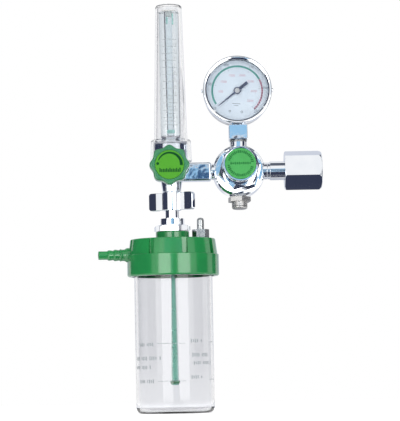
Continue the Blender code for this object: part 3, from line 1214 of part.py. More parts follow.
def build_flow_tubes(flow, clear, rubber, steel, nylon):
    seal_bottom = BLOCK_TOP + TOUCH
    seal_top = seal_bottom + COVER_SEAL_THICKNESS
    seal_outer = BLOCK_DIAMETER / 2
    turned("cover_seal", [
        (seal_outer - COVER_SEAL_WIDTH, seal_bottom),
        (seal_outer, seal_bottom),
        (seal_outer, seal_top),
        (seal_outer - COVER_SEAL_WIDTH, seal_top)], MEDIUM_ROUND, flow, rubber)

    collar = COLLAR_DIAMETER / 2
    collar_top = COLLAR_TOP_DIAMETER / 2
    thread = BLOCK_DIAMETER / 2 + SLACK
    base = COVER_BASE_DIAMETER / 2
    top = COVER_TOP_DIAMETER / 2
    ledge = seal_top + TOUCH
    turned("flow_cover", [
        (0, COVER_TOP - COVER_ROOF),
        (top - COVER_WALL - TOUCH, COVER_TOP - COVER_ROOF),
        (base - COVER_WALL, ledge),
        (thread, ledge),
        (thread, COLLAR_BOTTOM),
        (collar - COLLAR_EDGE / 2, COLLAR_BOTTOM),
        (collar, COLLAR_BOTTOM + COLLAR_EDGE / 2),
        (collar_top, COLLAR_TOP - COLLAR_EDGE),
        (collar_top - COLLAR_EDGE, COLLAR_TOP),
        (base, COLLAR_TOP),
        (top, COVER_TOP - COVER_DOME),
        (top - COVER_DOME * 0.3, COVER_TOP - COVER_DOME * 0.3),
        (top - COVER_DOME, COVER_TOP),
        (0, COVER_TOP)], LARGE_ROUND, flow, clear)

    radius = FLOW_TUBE_DIAMETER / 2
    spigot = FLOW_BORE_BOTTOM / 2 + FLOW_TUBE_SPIGOT_WALL
    spigot_end = BOSS_FACE - FLOW_TUBE_SPIGOT + TOUCH
    turned("flow_tube", [
        (FLOW_BORE_BOTTOM / 2, spigot_end),
        (spigot, spigot_end),
        (spigot, FLOW_TUBE_BOTTOM),
        (radius, FLOW_TUBE_BOTTOM),
        (radius, FLOW_TUBE_TOP),
        (FLOW_BORE_TOP / 2, FLOW_TUBE_TOP),
        (FLOW_BORE_BOTTOM / 2, FLOW_TUBE_BOTTOM)], MEDIUM_ROUND, flow, clear)
    turned("tube_seal", [
        (spigot + SLACK, BOSS_FACE + TOUCH),
        (TUBE_BOSS_DIAMETER / 2, BOSS_FACE + TOUCH),
        (TUBE_BOSS_DIAMETER / 2, BOSS_FACE + TOUCH + TUBE_SEAL_THICKNESS),
        (spigot + SLACK, BOSS_FACE + TOUCH + TUBE_SEAL_THICKNESS)], SMALL_ROUND, flow, rubber)

    ball_frame = make_frame("ball_rest", flow, (0, 0, BOSS_FACE - FLOW_TUBE_SPIGOT
                                                + BALL_DIAMETER / 2 + TOUCH))
    bm = bmesh.new()
    bmesh.ops.create_icosphere(bm, subdivisions=2, radius=BALL_DIAMETER / 2)
    add_object("flow_ball", bm, ball_frame, steel)

    stop_bottom = FLOW_TUBE_TOP + TOUCH
    plug = FLOW_BORE_TOP / 2 - SLACK
    turned("ball_stop", [
        (BALL_STOP_BORE / 2, FLOW_TUBE_TOP - BALL_STOP_SPIGOT),
        (plug * 0.86, FLOW_TUBE_TOP - BALL_STOP_SPIGOT),
        (plug, stop_bottom),
        (BALL_STOP_DIAMETER / 2, stop_bottom),
        (BALL_STOP_DIAMETER / 2, stop_bottom + BALL_STOP_FLANGE),
        (BALL_STOP_BORE / 2, stop_bottom + BALL_STOP_FLANGE)], FINE_ROUND, flow, nylon)


def build_wing_nut(humidifier, chrome):
    hub = WING_NUT_DIAMETER / 2
    thread = OUTLET_THREAD / 2 + SLACK
    neck_hole = NECK_DIAMETER / 2 + SLACK
    web_top = WING_NUT_BOTTOM + WING_NUT_WEB
    turn = (0, 0, -radians(WING_TURN))
    nut = turned("wing_nut", [
        (neck_hole, WING_NUT_BOTTOM),
        (hub, WING_NUT_BOTTOM),
        (hub, WING_NUT_TOP),
        (thread, WING_NUT_TOP),
        (thread, web_top),
        (neck_hole, web_top)], MEDIUM_ROUND, humidifier, chrome, (0, 0, 0), turn)
    span = WING_SPAN / 2
    inner = (hub + thread) / 2
    corner = WING_CORNER
    low = WING_NUT_BOTTOM + TOUCH
    high = WING_NUT_TOP - TOUCH
    for side, direction in (("right", 1), ("left", -1)):
        outline = [(direction * x, y) for x, y in (
            (inner, low), (span - corner * 1.4, low), (span - corner * 0.3, low + corner * 0.7),
            (span, low + corner * 1.6), (span, high - corner * 1.6),
            (span - corner * 0.3, high - corner * 0.7), (span - corner * 1.4, high), (inner, high))]
        wing = add_object("wing_nut.wing_" + side, prism_mesh(
            outline, -WING_THICKNESS / 2, WING_THICKNESS / 2), humidifier, None, (0, 0, 0),
            (pi / 2, 0, turn[2]))
        combine(nut, wing, 'UNION')


def build_stem(humidifier, chrome, rubber, nylon):
    head = OUTLET_THREAD / 2
    neck = NECK_DIAMETER / 2
    corner = SMALL_HEX_FLATS / sqrt(3) + SLACK
    tail = TAIL_DIAMETER / 2
    bore = STEM_BORE / 2
    nipple = OUTLET_BORE / 2 - SLACK
    stem = turned("humidifier_stem", [
        (bore, HEAD_TOP + NIPPLE_LENGTH),
        (nipple, HEAD_TOP + NIPPLE_LENGTH),
        (nipple, HEAD_TOP),
        (head, HEAD_TOP),
        (head, HEAD_BOTTOM),
        (neck, HEAD_BOTTOM),
        (neck, SMALL_HEX_TOP),
        (corner - SMALL_HEX_CHAMFER, SMALL_HEX_TOP),
        (corner, SMALL_HEX_TOP - SMALL_HEX_CHAMFER),
        (corner, SMALL_HEX_BOTTOM),
        (tail, SMALL_HEX_BOTTOM),
        (tail, TAIL_END),
        (DIP_NIPPLE_DIAMETER / 2, TAIL_END),
        (DIP_NIPPLE_DIAMETER / 2, TAIL_END - DIP_NIPPLE),
        (bore, TAIL_END - DIP_NIPPLE)], MEDIUM_ROUND, humidifier, chrome)
    hexagonal(stem, SMALL_HEX_FLATS, TAIL_END - DIP_NIPPLE, HEAD_TOP + NIPPLE_LENGTH, humidifier,
              SMALL_HEX_TURN)

    hole = tail + SLACK
    corner = FLANGE_NUT_FLATS / sqrt(3) + SLACK
    nut = turned("flange_nut", [
        (hole, FLANGE_NUT_BOTTOM),
        (corner, FLANGE_NUT_BOTTOM),
        (corner, FLANGE_NUT_TOP - FLANGE_NUT_CHAMFER),
        (corner - FLANGE_NUT_CHAMFER, FLANGE_NUT_TOP - FLANGE_NUT_CHAMFER * 0.3),
        (corner - FLANGE_NUT_CHAMFER * 2.2, FLANGE_NUT_TOP),
        (hole, FLANGE_NUT_TOP)], MEDIUM_ROUND, humidifier, chrome)
    hexagonal(nut, FLANGE_NUT_FLATS, FLANGE_NUT_BOTTOM, FLANGE_NUT_TOP, humidifier, FLANGE_NUT_TURN)

    seal_top = ROOF_UNDERSIDE - TOUCH
    turned("stem_seal", [
        (hole, seal_top - STEM_SEAL_THICKNESS),
        (STEM_SEAL_DIAMETER / 2, seal_top - STEM_SEAL_THICKNESS),
        (STEM_SEAL_DIAMETER / 2, seal_top),
        (hole, seal_top)], SMALL_ROUND, humidifier, rubber)
    corner = BACK_NUT_FLATS / sqrt(3) + SLACK
    back = turned("back_nut", [
        (hole, BACK_NUT_TOP - BACK_NUT),
        (corner, BACK_NUT_TOP - BACK_NUT),
        (corner, BACK_NUT_TOP),
        (hole, BACK_NUT_TOP)], FINE_ROUND, humidifier, nylon)
    hexagonal(back, BACK_NUT_FLATS, BACK_NUT_TOP - BACK_NUT, BACK_NUT_TOP, humidifier)


def build_cap(humidifier, green):
    grip = CAP_GRIP_DIAMETER / 2
    top = CAP_TOP_DIAMETER / 2
    ring = CAP_RING_DIAMETER / 2
    tail_hole = TAIL_DIAMETER / 2 + SLACK
    chamber = CAP_CHAMBER_DIAMETER / 2
    cap = turned("bottle_cap", [
        (tail_hole, CAP_BOSS_TOP),
        (CAP_BOSS_DIAMETER / 2, CAP_BOSS_TOP),
        (CAP_BOSS_DIAMETER / 2, CAP_TOP),
        (top - CAP_TOP_EDGE, CAP_TOP),
        (top, CAP_TOP - CAP_TOP_EDGE),
        (grip, RING_TOP),
        (ring, RING_TOP),
        (ring, RING_BOTTOM + CAP_RING_EDGE),
        (ring - CAP_RING_EDGE, RING_BOTTOM),
        (CAP_THREAD_RADIUS, RING_BOTTOM),
        (CAP_THREAD_RADIUS, SEAL_SEAT),
        (chamber, SEAL_SEAT),
        (chamber, ROOF_UNDERSIDE),
        (tail_hole, ROOF_UNDERSIDE)], LARGE_ROUND, humidifier, green)

    # Narrow recesses part the grip into broad lugs
    bm = bmesh.new()
    for lug in range(CAP_LUGS):
        middle = radians(CAP_TURN - 90.0 + (lug + 0.5) * 360.0 / CAP_LUGS)
        half = (grip + top) / 2 * radians(LUG_RECESS_ANGLE) / 2
        piece = box_mesh((top - LUG_RECESS_DEPTH, -half, RING_TOP), (grip + CUT_PAST, half,
                                                                     CAP_TOP + CUT_PAST))
        bmesh.ops.rotate(piece, verts=piece.verts, matrix=Matrix.Rotation(middle, 3, 'Z'))
        mesh = bpy.data.meshes.new("recess")
        piece.to_mesh(mesh)
        piece.free()
        bm.from_mesh(mesh)
        bpy.data.meshes.remove(mesh)
    recesses = add_object("bottle_cap.recesses", bm, humidifier)
    combine(cap, recesses, 'DIFFERENCE')

    # Barbed outlet for the patient's tubing, moulded on the ring's left side
    outward = (0, -pi / 2, radians(BARB_TURN))
    place = (0, 0, RING_TOP - BARB_BELOW_RING_TOP)
    root = BARB_ROOT_DIAMETER / 2
    tip = BARB_TIP_DIAMETER / 2
    last_ridge = ring + BARB_LAST_RIDGE
    start = CAP_THREAD_RADIUS + CUT_PAST
    profile = [(0, start), (BARB_FOOT_DIAMETER / 2, start),
               (BARB_FOOT_DIAMETER / 2, ring), (root, ring + BARB_FOOT), (root, last_ridge)]
    barrel = root
    for ridge in range(BARB_RIDGES):
        foot = last_ridge + ridge * BARB_RIDGE_PITCH
        barrel = root - (root - tip) * (ridge + 1) / BARB_RIDGES
        crest = barrel + BARB_RIDGE_RISE
        profile += [(crest, foot + TOUCH), (crest - TOUCH, foot + BARB_RIDGE_WIDTH * 0.6),
                    (barrel, foot + BARB_RIDGE_WIDTH)]
    profile += [(tip, BARB_REACH - BARB_TAPER), (tip - BARB_TAPER, BARB_REACH), (0, BARB_REACH)]
    barb = turned("bottle_cap.barb", profile, SMALL_ROUND, humidifier, None, place, outward)
    combine(cap, barb, 'UNION')
    drill(cap, "bottle_cap.barb_bore", BARB_BORE / 2, chamber - CUT_PAST * 3, BARB_REACH + CUT_PAST,
          humidifier, place, outward)
    drill(cap, "bottle_cap.pin_hole", PIN_BASE_THREAD / 2 + SLACK, ROOF_UNDERSIDE - CUT_PAST,
          CAP_TOP + CUT_PAST, humidifier, (PIN_OFFSET, 0, 0), (0, 0, 0), SMALL_ROUND)


def build_cap_relief(humidifier, nickel, steel):
    pin_axis = make_frame("cap_relief_axis", humidifier, (PIN_OFFSET, 0, 0))
    corner = PIN_BASE_FLATS / sqrt(3) + SLACK
    thread = PIN_BASE_THREAD / 2
    plunger = PIN_DIAMETER / 2
    lip = plunger + SLACK
    wire_room = 2 * SLACK + PIN_WIRE
    bore = plunger + wire_room + SLACK
    lip_bottom = PIN_BASE_TOP - PIN_BASE_LIP
    floor = PIN_TAIL_END + PIN_BASE_FLOOR
    base = turned("cap_relief_base", [
        (PIN_ORIFICE / 2, PIN_TAIL_END),
        (thread, PIN_TAIL_END),
        (thread, PIN_BASE_BOTTOM),
        (corner, PIN_BASE_BOTTOM),
        (corner, PIN_BASE_TOP - TOUCH * 2),
        (corner - TOUCH * 2, PIN_BASE_TOP),
        (lip, PIN_BASE_TOP),
        (lip, lip_bottom),
        (bore, lip_bottom),
        (bore, floor),
        (PIN_ORIFICE / 2, floor)], SMALL_ROUND, pin_axis, nickel)
    hexagonal(base, PIN_BASE_FLATS, PIN_TAIL_END, PIN_BASE_TOP, pin_axis)

    pin_top = PIN_BASE_TOP + PIN_HEIGHT
    flange_bottom = floor + TOUCH
    flange_top = flange_bottom + PIN_FLANGE
    turned("cap_relief_pin", [
        (0, flange_bottom),
        (bore - SLACK, flange_bottom),
        (bore - SLACK, flange_top),
        (plunger, flange_top),
        (plunger, pin_top - plunger * 0.8),
        (plunger * 0.87, pin_top - plunger * 0.35),
        (plunger * 0.5, pin_top - plunger * 0.08),
        (0, pin_top)], SMALL_ROUND, pin_axis, nickel)
    coil("cap_relief_spring", 2 * plunger + wire_room, PIN_WIRE, PIN_SPRING_TURNS,
         flange_top + TOUCH, lip_bottom - TOUCH, pin_axis, steel, 10, 4)


def build_bottle(humidifier, clear, rubber, green):
    radius = BOTTLE_DIAMETER / 2
    inner = radius - BOTTLE_WALL
    band = radius + THREAD_BAND_RISE
    seal_top = SEAL_SEAT - TOUCH
    turned("bottle_seal", [
        (inner, seal_top - BOTTLE_SEAL_THICKNESS),
        (CAP_THREAD_RADIUS - SLACK, seal_top - BOTTLE_SEAL_THICKNESS),
        (CAP_THREAD_RADIUS - SLACK, seal_top),
        (inner, seal_top)], LARGE_ROUND, humidifier, rubber)

    corner = BOTTLE_CORNER
    floor = BOTTLE_BASE + BOTTLE_BASE_WALL
    turned("bottle", [
        (0, BOTTLE_BASE),
        (radius - corner, BOTTLE_BASE),
        (radius - corner * 0.3, BOTTLE_BASE + corner * 0.3),
        (radius, BOTTLE_BASE + corner),
        (radius, BOTTLE_RIM - THREAD_BAND - THREAD_BAND_RISE),
        (band, BOTTLE_RIM - THREAD_BAND),
        (band, BOTTLE_RIM),
        (inner, BOTTLE_RIM),
        (inner, floor + corner * 0.7),
        (inner - corner * 0.7, floor),
        (0, floor)], LARGE_ROUND, humidifier, clear)

    socket = DIP_NIPPLE_DIAMETER / 2 + SLACK
    shoulder = socket + DIP_SOCKET_WALL
    neck = DIP_TOP_DIAMETER / 2
    end = DIP_END_DIAMETER / 2
    turned("dip_tube", [
        (socket, DIP_TOP),
        (shoulder, DIP_TOP),
        (shoulder, DIP_SOCKET_FLOOR),
        (neck, DIP_SOCKET_FLOOR - DIP_SHOULDER),
        (end, DIP_END),
        (DIP_BORE / 2, DIP_END),
        (DIP_BORE / 2, DIP_SOCKET_FLOOR),
        (socket, DIP_SOCKET_FLOOR)], SMALL_ROUND, humidifier, green)
    collar_bottom = DIP_END + DIP_COLLAR_SETBACK
    collar_top = collar_bottom + DIP_COLLAR
    turned("dip_collar", [
        (end + SLACK, collar_bottom),
        (DIP_COLLAR_DIAMETER / 2, collar_bottom),
        (DIP_COLLAR_DIAMETER / 2, collar_top),
        (end + SLACK, collar_top)], SMALL_ROUND, humidifier, green)


def build_object():
    clear_scene()
    chrome = make_material("chrome", (0.80, 0.82, 0.85), 0.08, 1.0)
    nickel = make_material("nickel", (0.62, 0.61, 0.58), 0.28, 1.0)
    brass = make_material("brass", (0.78, 0.60, 0.28), 0.30, 1.0)
    copper = make_material("copper", (0.80, 0.45, 0.30), 0.35, 1.0)
    steel = make_material("spring_steel", (0.55, 0.56, 0.58), 0.30, 1.0)
    green = make_material("green_plastic", (0.05, 0.42, 0.16), 0.35, 0.0)
    bright_green = make_material("bright_green", (0.16, 0.55, 0.08), 0.30, 0.0)
    navy = make_material("navy_paint", (0.03, 0.05, 0.16), 0.40, 0.0)
    clear = make_material("clear_plastic", (0.88, 0.92, 0.92), 0.05, 0.0)
    dial_white = make_material("dial_white", (0.92, 0.92, 0.90), 0.50, 0.0)
    rubber = make_material("rubber", (0.03, 0.03, 0.03), 0.70, 0.0)
    nylon = make_material("nylon", (0.86, 0.85, 0.80), 0.50, 0.0)

    build_inlet(chrome, brass, nylon)

    regulator = make_frame("regulator_centre", None, (BODY_X, 0, 0),
                           (-radians(REGULATOR_LEAN), 0, 0))
    front = make_frame("regulator_front", regulator, (0, 0, 0), FACE_FRONT)
    build_regulator_body(front, chrome)
    build_bonnet(front, chrome, bright_green, steel, rubber)
    build_main_valve(front, brass, steel)
    build_relief(regulator, nickel, brass, steel)

    gauge = make_frame("gauge_centre", front, (0, GAUGE_HEIGHT, 0))
    build_gauge_shell(gauge, front, chrome, brass, clear, dial_white, copper)
    build_pointer(gauge, navy, brass)
    build_movement(gauge, brass, copper)

    flow = make_frame("flow_axis", None, (FLOW_X, 0, 0))
    build_flow_block(flow, chrome)
    build_needle_valve(flow, chrome, brass, nylon, green, bright_green)
    build_flow_tubes(flow, clear, rubber, steel, nylon)

    humidifier = make_frame("humidifier_axis", flow)
    build_wing_nut(humidifier, chrome)
    build_stem(humidifier, chrome, rubber, nylon)
    build_cap(humidifier, green)
    build_cap_relief(humidifier, nickel, steel)
    build_bottle(humidifier, clear, rubber, green)


build_object()
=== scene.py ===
import math

import bmesh
import bpy
from mathutils import Matrix, Vector


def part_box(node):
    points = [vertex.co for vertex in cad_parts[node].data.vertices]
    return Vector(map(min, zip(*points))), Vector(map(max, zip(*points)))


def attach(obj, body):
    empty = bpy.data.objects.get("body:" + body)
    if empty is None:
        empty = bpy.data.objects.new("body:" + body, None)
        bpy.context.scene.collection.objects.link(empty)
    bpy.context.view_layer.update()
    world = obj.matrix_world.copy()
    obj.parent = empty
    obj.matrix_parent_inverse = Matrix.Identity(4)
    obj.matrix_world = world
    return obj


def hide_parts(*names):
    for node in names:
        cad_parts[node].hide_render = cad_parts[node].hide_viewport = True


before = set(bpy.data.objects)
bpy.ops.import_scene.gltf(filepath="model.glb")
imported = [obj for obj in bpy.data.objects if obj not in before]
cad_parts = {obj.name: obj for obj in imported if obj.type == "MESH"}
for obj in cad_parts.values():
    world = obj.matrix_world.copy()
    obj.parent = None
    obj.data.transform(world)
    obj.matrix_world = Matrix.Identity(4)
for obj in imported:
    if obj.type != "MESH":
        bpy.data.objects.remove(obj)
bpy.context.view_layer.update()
print("frame loaded")

mm = 0.001  # lengths are written in millimetres and turned into metres as they are used
gap = 0.3  # between two pieces that are screwed or laid together
spigotRadius = 5.5  # of the ends that screw into the regulator's body
inkThick = 0.05
inkLift = 0.01  # keeps a print clear of the face under it
weld = 1e-7  # metres, points nearer than this are one
seam = 1e-6  # metres, how far a point may lie from the face or line that it is on


def lowOf(node):  # lowest corner of a CAD node, in millimetres
    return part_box(node)[0] / mm


def highOf(node):
    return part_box(node)[1] / mm


def middleOf(node):
    return (lowOf(node) + highOf(node)) / 2


def endsOf(node):  # the lowest and the highest point of an upright node
    return lowOf(node).z, highOf(node).z


def moveTo(x, y, z):
    return Matrix.Translation((x * mm, y * mm, z * mm))


def turnBy(degrees, axis):
    return Matrix.Rotation(math.radians(degrees), 4, axis)


def polar(degrees, radius=1.0):
    angle = math.radians(degrees)
    return radius * math.cos(angle), radius * math.sin(angle)


# Where the axes of the regulator stand
axes = {
    "regulatorLean": 4.0,  # degrees, the regulator and its gauge lean back
    "dialTurn": 5.0,  # the gauge is turned a little clockwise
    "needleHeight": 3.8,
}
flowX = middleOf("flow_tube").x
bodyX = middleOf("bonnet_badge").x
needleX = middleOf("knob_badge").x
pinX = middleOf("cap_relief_pin").x

flowPlace = moveTo(flowX, 0, 0)
inletPlace = turnBy(90, "Y")
leanPlace = moveTo(bodyX, 0, 0) @ turnBy(-axes["regulatorLean"], "X")
bodyPlace = leanPlace @ turnBy(90, "X")
dialHeight = (bodyPlace.inverted() @ (middleOf("gauge_dial") * mm)).y / mm
gaugePlace = bodyPlace @ moveTo(0, dialHeight, 0)
dialPlace = gaugePlace @ turnBy(-axes["dialTurn"], "Z")
needlePlace = moveTo(needleX, 0, axes["needleHeight"]) @ turnBy(90, "X")
reliefPlace = leanPlace @ turnBy(180, "X")
pinPlace = moveTo(pinX, 0, 0)


def allOf(bm):
    return bm.verts[:] + bm.edges[:] + bm.faces[:]


def bevelled(bm, geometry, width, segments, kind="EDGES", clamp=False):
    bmesh.ops.bevel(bm, geom=geometry, offset=width * mm, offset_type="OFFSET",
                    segments=segments, profile=0.5, affect=kind, clamp_overlap=clamp,
                    material=-1)


def turnedShape(profile, sides=96):
    # Turns (radius, height) or (radius, height, rounding) points about Z, like a lathe
    bm = bmesh.new()
    points = [bm.verts.new((p[0] * mm, 0, p[1] * mm)) for p in profile]
    for pair in zip(points, points[1:]):
        bm.edges.new(pair)
    if profile[0][0] > 0:  # a piece with a bore closes on itself
        bm.edges.new((points[-1], points[0]))
    for point, place in zip(points, profile):
        if len(place) > 2 and place[2] > 0:
            bevelled(bm, [point], place[2], 4, "VERTICES")
    bmesh.ops.spin(bm, geom=bm.verts[:] + bm.edges[:], cent=(0, 0, 0), axis=(0, 0, 1),
                   angle=2 * math.pi, steps=sides, use_merge=True, use_duplicate=False)
    bmesh.ops.remove_doubles(bm, verts=bm.verts[:], dist=seam)
    bmesh.ops.recalc_face_normals(bm, faces=bm.faces[:])
    return bm


def ringShape(inner, outer, low, high, sides=96, top=0.0, bottom=0.0, bore=0.0):
    # A plain ring, or a plug where inner is 0, with the roundings of its edges last
    return turnedShape([(inner, low, bore), (outer, low, bottom), (outer, high, top),
                        (inner, high, bore)], sides)


def blankRadius(flats):  # of the turned blank that a hexagon is milled from
    return flats / math.sqrt(3) + 0.3


def millHexagon(bm, flats, turn, fullness=0.0):
    # Takes six flats off a turned blank, closes each cut, and swells the flats as plating does
    for side in range(6):
        outward = Vector((*polar(turn + 30 + 60 * side), 0))
        cut = bmesh.ops.bisect_plane(bm, geom=allOf(bm), dist=weld, plane_no=outward,
                                     plane_co=outward * flats / 2 * mm, clear_outer=True)
        rim = [e for e in cut["geom_cut"] if isinstance(e, bmesh.types.BMEdge)]
        bmesh.ops.holes_fill(bm, edges=rim, sides=0)
    if fullness > 0:
        corner = flats / math.sqrt(3) * mm
        for cut in range(18):
            bmesh.ops.bisect_plane(bm, geom=allOf(bm), dist=weld, plane_co=(0, 0, 0),
                                   plane_no=(*polar(turn + 10 * cut + 90), 0))
        for v in bm.verts:
            angle = math.degrees(math.atan2(v.co.y, v.co.x)) - turn - 30
            outward = Vector((*polar(round(angle / 60) * 60 + turn + 30), 0))
            if abs(v.co.dot(outward) - flats / 2 * mm) < seam:
                reach = v.co.xy.length
                scale = (reach + fullness * (corner - reach)) / reach
                v.co.x *= scale
                v.co.y *= scale
    bmesh.ops.recalc_face_normals(bm, faces=bm.faces[:])


def softenEdges(bm, width, angle=40, segments=2):
    # Breaks the sharp edges, as tumbling does before plating
    sharp = [e for e in bm.edges if len(e.link_faces) == 2
             and e.calc_face_angle(0) > math.radians(angle)]
    bevelled(bm, sharp, width, segments, clamp=True)


def blockShape(low, high, edge=0.0, segments=3):
    # A block between two corners, with its edges rounded
    bm = bmesh.new()
    size = [(b - a) * mm for a, b in zip(low, high)]
    centre = Vector([(a + b) / 2 * mm for a, b in zip(low, high)])
    bmesh.ops.create_cube(bm, size=1, matrix=Matrix.Translation(centre)
                          @ Matrix.Diagonal((*size, 1)))
    if edge > 0:
        bevelled(bm, bm.edges[:], edge, segments, clamp=True)
    return bm


def raiseFaces(bm, faces, height):  # makes a slab of a flat face
    raised = bmesh.ops.extrude_face_region(bm, geom=faces, use_keep_orig=True)
    top = [v for v in raised["geom"] if isinstance(v, bmesh.types.BMVert)]
    bmesh.ops.translate(bm, vec=(0, 0, height * mm), verts=top)
    bmesh.ops.recalc_face_normals(bm, faces=bm.faces[:])


def newObject(name, data):
    made = bpy.data.objects.new(name, data)
    bpy.context.collection.objects.link(made)
    return made


def meshFrom(name, bm):
    mesh = bpy.data.meshes.new(name)
    bm.to_mesh(mesh)
    bm.free()
    return mesh


def evaluated(thing):
    return thing.evaluated_get(bpy.context.evaluated_depsgraph_get())


def shaped(base, tools, operation):
    # Joins or cuts solid shapes with the exact Boolean, and gives one mesh back
    work = [newObject("work", meshFrom("work", bm)) for bm in [base] + tools]
    for tool in work[1:]:
        step = work[0].modifiers.new("step", "BOOLEAN")
        step.operation = operation
        step.solver = "EXACT"
        step.object = tool
    result = bmesh.new()
    result.from_mesh(evaluated(work[0]).data)
    for piece in work:
        mesh = piece.data
        bpy.data.objects.remove(piece)
        bpy.data.meshes.remove(mesh)
    bmesh.ops.remove_doubles(result, verts=result.verts[:], dist=weld)
    return result


def placed(bm, place):
    bm.transform(place)
    return bm


def addPiece(name, bm, place, finish, nodes, body="regulator", sharpAngle=28,
             weighted=True):
    # The mesh becomes a piece that rides on its body and stands for its CAD nodes
    bm.transform(place)
    bmesh.ops.recalc_face_normals(bm, faces=bm.faces[:])
    mesh = meshFrom(name, bm)
    mesh.polygons.foreach_set("use_smooth", [True] * len(mesh.polygons))
    mesh.set_sharp_from_angle(angle=math.radians(sharpAngle))
    mesh.materials.append(finish)
    piece = newObject(name, mesh)
    if weighted:  # broad faces keep their own shading beside rounded edges
        piece.modifiers.new("evenShading", "WEIGHTED_NORMAL").keep_sharp = True
    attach(piece, body)
    if nodes:
        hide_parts(*nodes)
    return piece


def addPrint(name, bm, place, ink, body="regulator"):
    addPiece(name, bm, place, ink, [], body, weighted=False)


def letLightThrough(piece):  # lamps reach what stands behind a clear wall
    piece.visible_shadow = False


def setInputs(tree, node, inputs):
    # Each input takes a plain value, or is linked where it is given another node's output
    for name, value in inputs.items():
        if isinstance(value, bpy.types.NodeSocket):
            tree.links.new(value, node.inputs[name])
        else:
            node.inputs[name].default_value = value


def addNode(tree, kind, inputs=None, **settings):
    node = tree.nodes.new("ShaderNode" + kind)
    for name, value in settings.items():
        setattr(node, name, value)
    setInputs(tree, node, inputs or {})
    return node


def mathOf(tree, operation, *values):
    return addNode(tree, "Math", dict(enumerate(values)), operation=operation).outputs["Value"]


def newFinish(name):
    finish = bpy.data.materials.new(name)
    finish.use_nodes = True
    return finish, finish.node_tree, finish.node_tree.nodes["Principled BSDF"]


def noiseOf(tree, scale, detail):
    place = addNode(tree, "TexCoord").outputs["Object"]
    return addNode(tree, "TexNoise", {"Vector": place, "Scale": scale, "Detail": detail,
                                      "Roughness": 0.5}).outputs["Fac"]


def rampBetween(tree, value, first, second, low=0.3, high=0.7):
    ramp = addNode(tree, "ValToRGB", {"Fac": value})
    for stop, place, colour in zip(ramp.color_ramp.elements, (low, high), (first, second)):
        stop.position = place
        stop.color = (*colour, 1)
    return ramp.outputs["Color"]


def spread(tree, value, ends):
    # Maps a noise to a range of one number
    return addNode(tree, "MapRange", {
        "Value": value, "From Min": 0.3, "From Max": 0.7, "To Min": ends[0],
        "To Max": ends[1]}).outputs["Result"]


def bumpOf(tree, height, distance):
    return addNode(tree, "Bump", {"Strength": 1.0, "Distance": distance * mm,
                                  "Height": height}).outputs["Normal"]


def metalFinish(name, pale, dull, rough, wave, grain):
    # The wave is a scale and a depth, the grain a scale and its share of that depth
    finish, tree, shader = newFinish(name)
    broad = noiseOf(tree, wave[0], 2.0)
    fine = noiseOf(tree, grain[0], 4.0)
    height = mathOf(tree, "MULTIPLY_ADD", fine, grain[1], broad)
    setInputs(tree, shader, {
        "Metallic": 1.0, "Base Color": rampBetween(tree, broad, dull, pale),
        "Roughness": spread(tree, fine, rough), "Normal": bumpOf(tree, height, wave[1])})
    return finish


def plasticFinish(name, colour, deeper, rough, coat=0.0, gloss=0.5):
    finish, tree, shader = newFinish(name)
    broad = noiseOf(tree, 55, 3.0)
    fine = noiseOf(tree, 900, 3.0)
    setInputs(tree, shader, {
        "Specular IOR Level": gloss, "Coat Weight": coat, "Coat Roughness": 0.06,
        "Base Color": rampBetween(tree, broad, deeper, colour),
        "Roughness": spread(tree, fine, rough), "Normal": bumpOf(tree, fine, 0.004)})
    return finish


def clearFinish(name, colour, deeper, ior, rough):
    finish, tree, shader = newFinish(name)
    broad = noiseOf(tree, 40, 2.0)
    setInputs(tree, shader, {
        "Transmission Weight": 1.0, "IOR": ior,
        "Base Color": rampBetween(tree, broad, deeper, colour),
        "Roughness": spread(tree, broad, rough), "Normal": bumpOf(tree, broad, 0.01)})
    return finish


def inkFinish(name, colour, thin):
    # Pad-printed ink, a little uneven in its cover
    finish, tree, shader = newFinish(name)
    setInputs(tree, shader, {
        "Roughness": 0.45, "Specular IOR Level": 0.05,
        "Base Color": rampBetween(tree, noiseOf(tree, 1500, 2.0), colour, thin)})
    return finish


chrome = metalFinish("polishedChrome", (0.90, 0.92, 0.95), (0.84, 0.87, 0.91), (0.03, 0.07),
                     (70, 0.05), (2200, 0.004))
wavyChrome = metalFinish("castChrome", (0.88, 0.92, 0.97), (0.80, 0.86, 0.93), (0.04, 0.09),
                         (110, 0.14), (2200, 0.004))
satinChrome = metalFinish("satinChrome", (0.60, 0.61, 0.63), (0.54, 0.55, 0.57), (0.26, 0.34),
                          (90, 0.03), (1800, 0.2))
nickel = metalFinish("dullNickel", (0.50, 0.49, 0.48), (0.42, 0.41, 0.40), (0.36, 0.48),
                     (160, 0.02), (1800, 0.3))
greyNickel = metalFinish("greyNickel", (0.40, 0.41, 0.41), (0.30, 0.31, 0.31), (0.24, 0.36),
                         (160, 0.02), (1800, 0.3))
brass = metalFinish("machinedBrass", (0.82, 0.64, 0.31), (0.72, 0.53, 0.24), (0.20, 0.32),
                    (200, 0.01), (2400, 0.4))
sinteredBronze = metalFinish("sinteredBronze", (0.72, 0.52, 0.28), (0.45, 0.30, 0.15),
                             (0.45, 0.65), (1500, 0.12), (3200, 0.6))
copper = metalFinish("drawnCopper", (0.80, 0.47, 0.33), (0.68, 0.37, 0.24), (0.25, 0.38),
                     (240, 0.01), (2600, 0.4))
springSteel = metalFinish("springSteel", (0.62, 0.63, 0.65), (0.50, 0.51, 0.53), (0.22, 0.34),
                          (300, 0.01), (2600, 0.4))

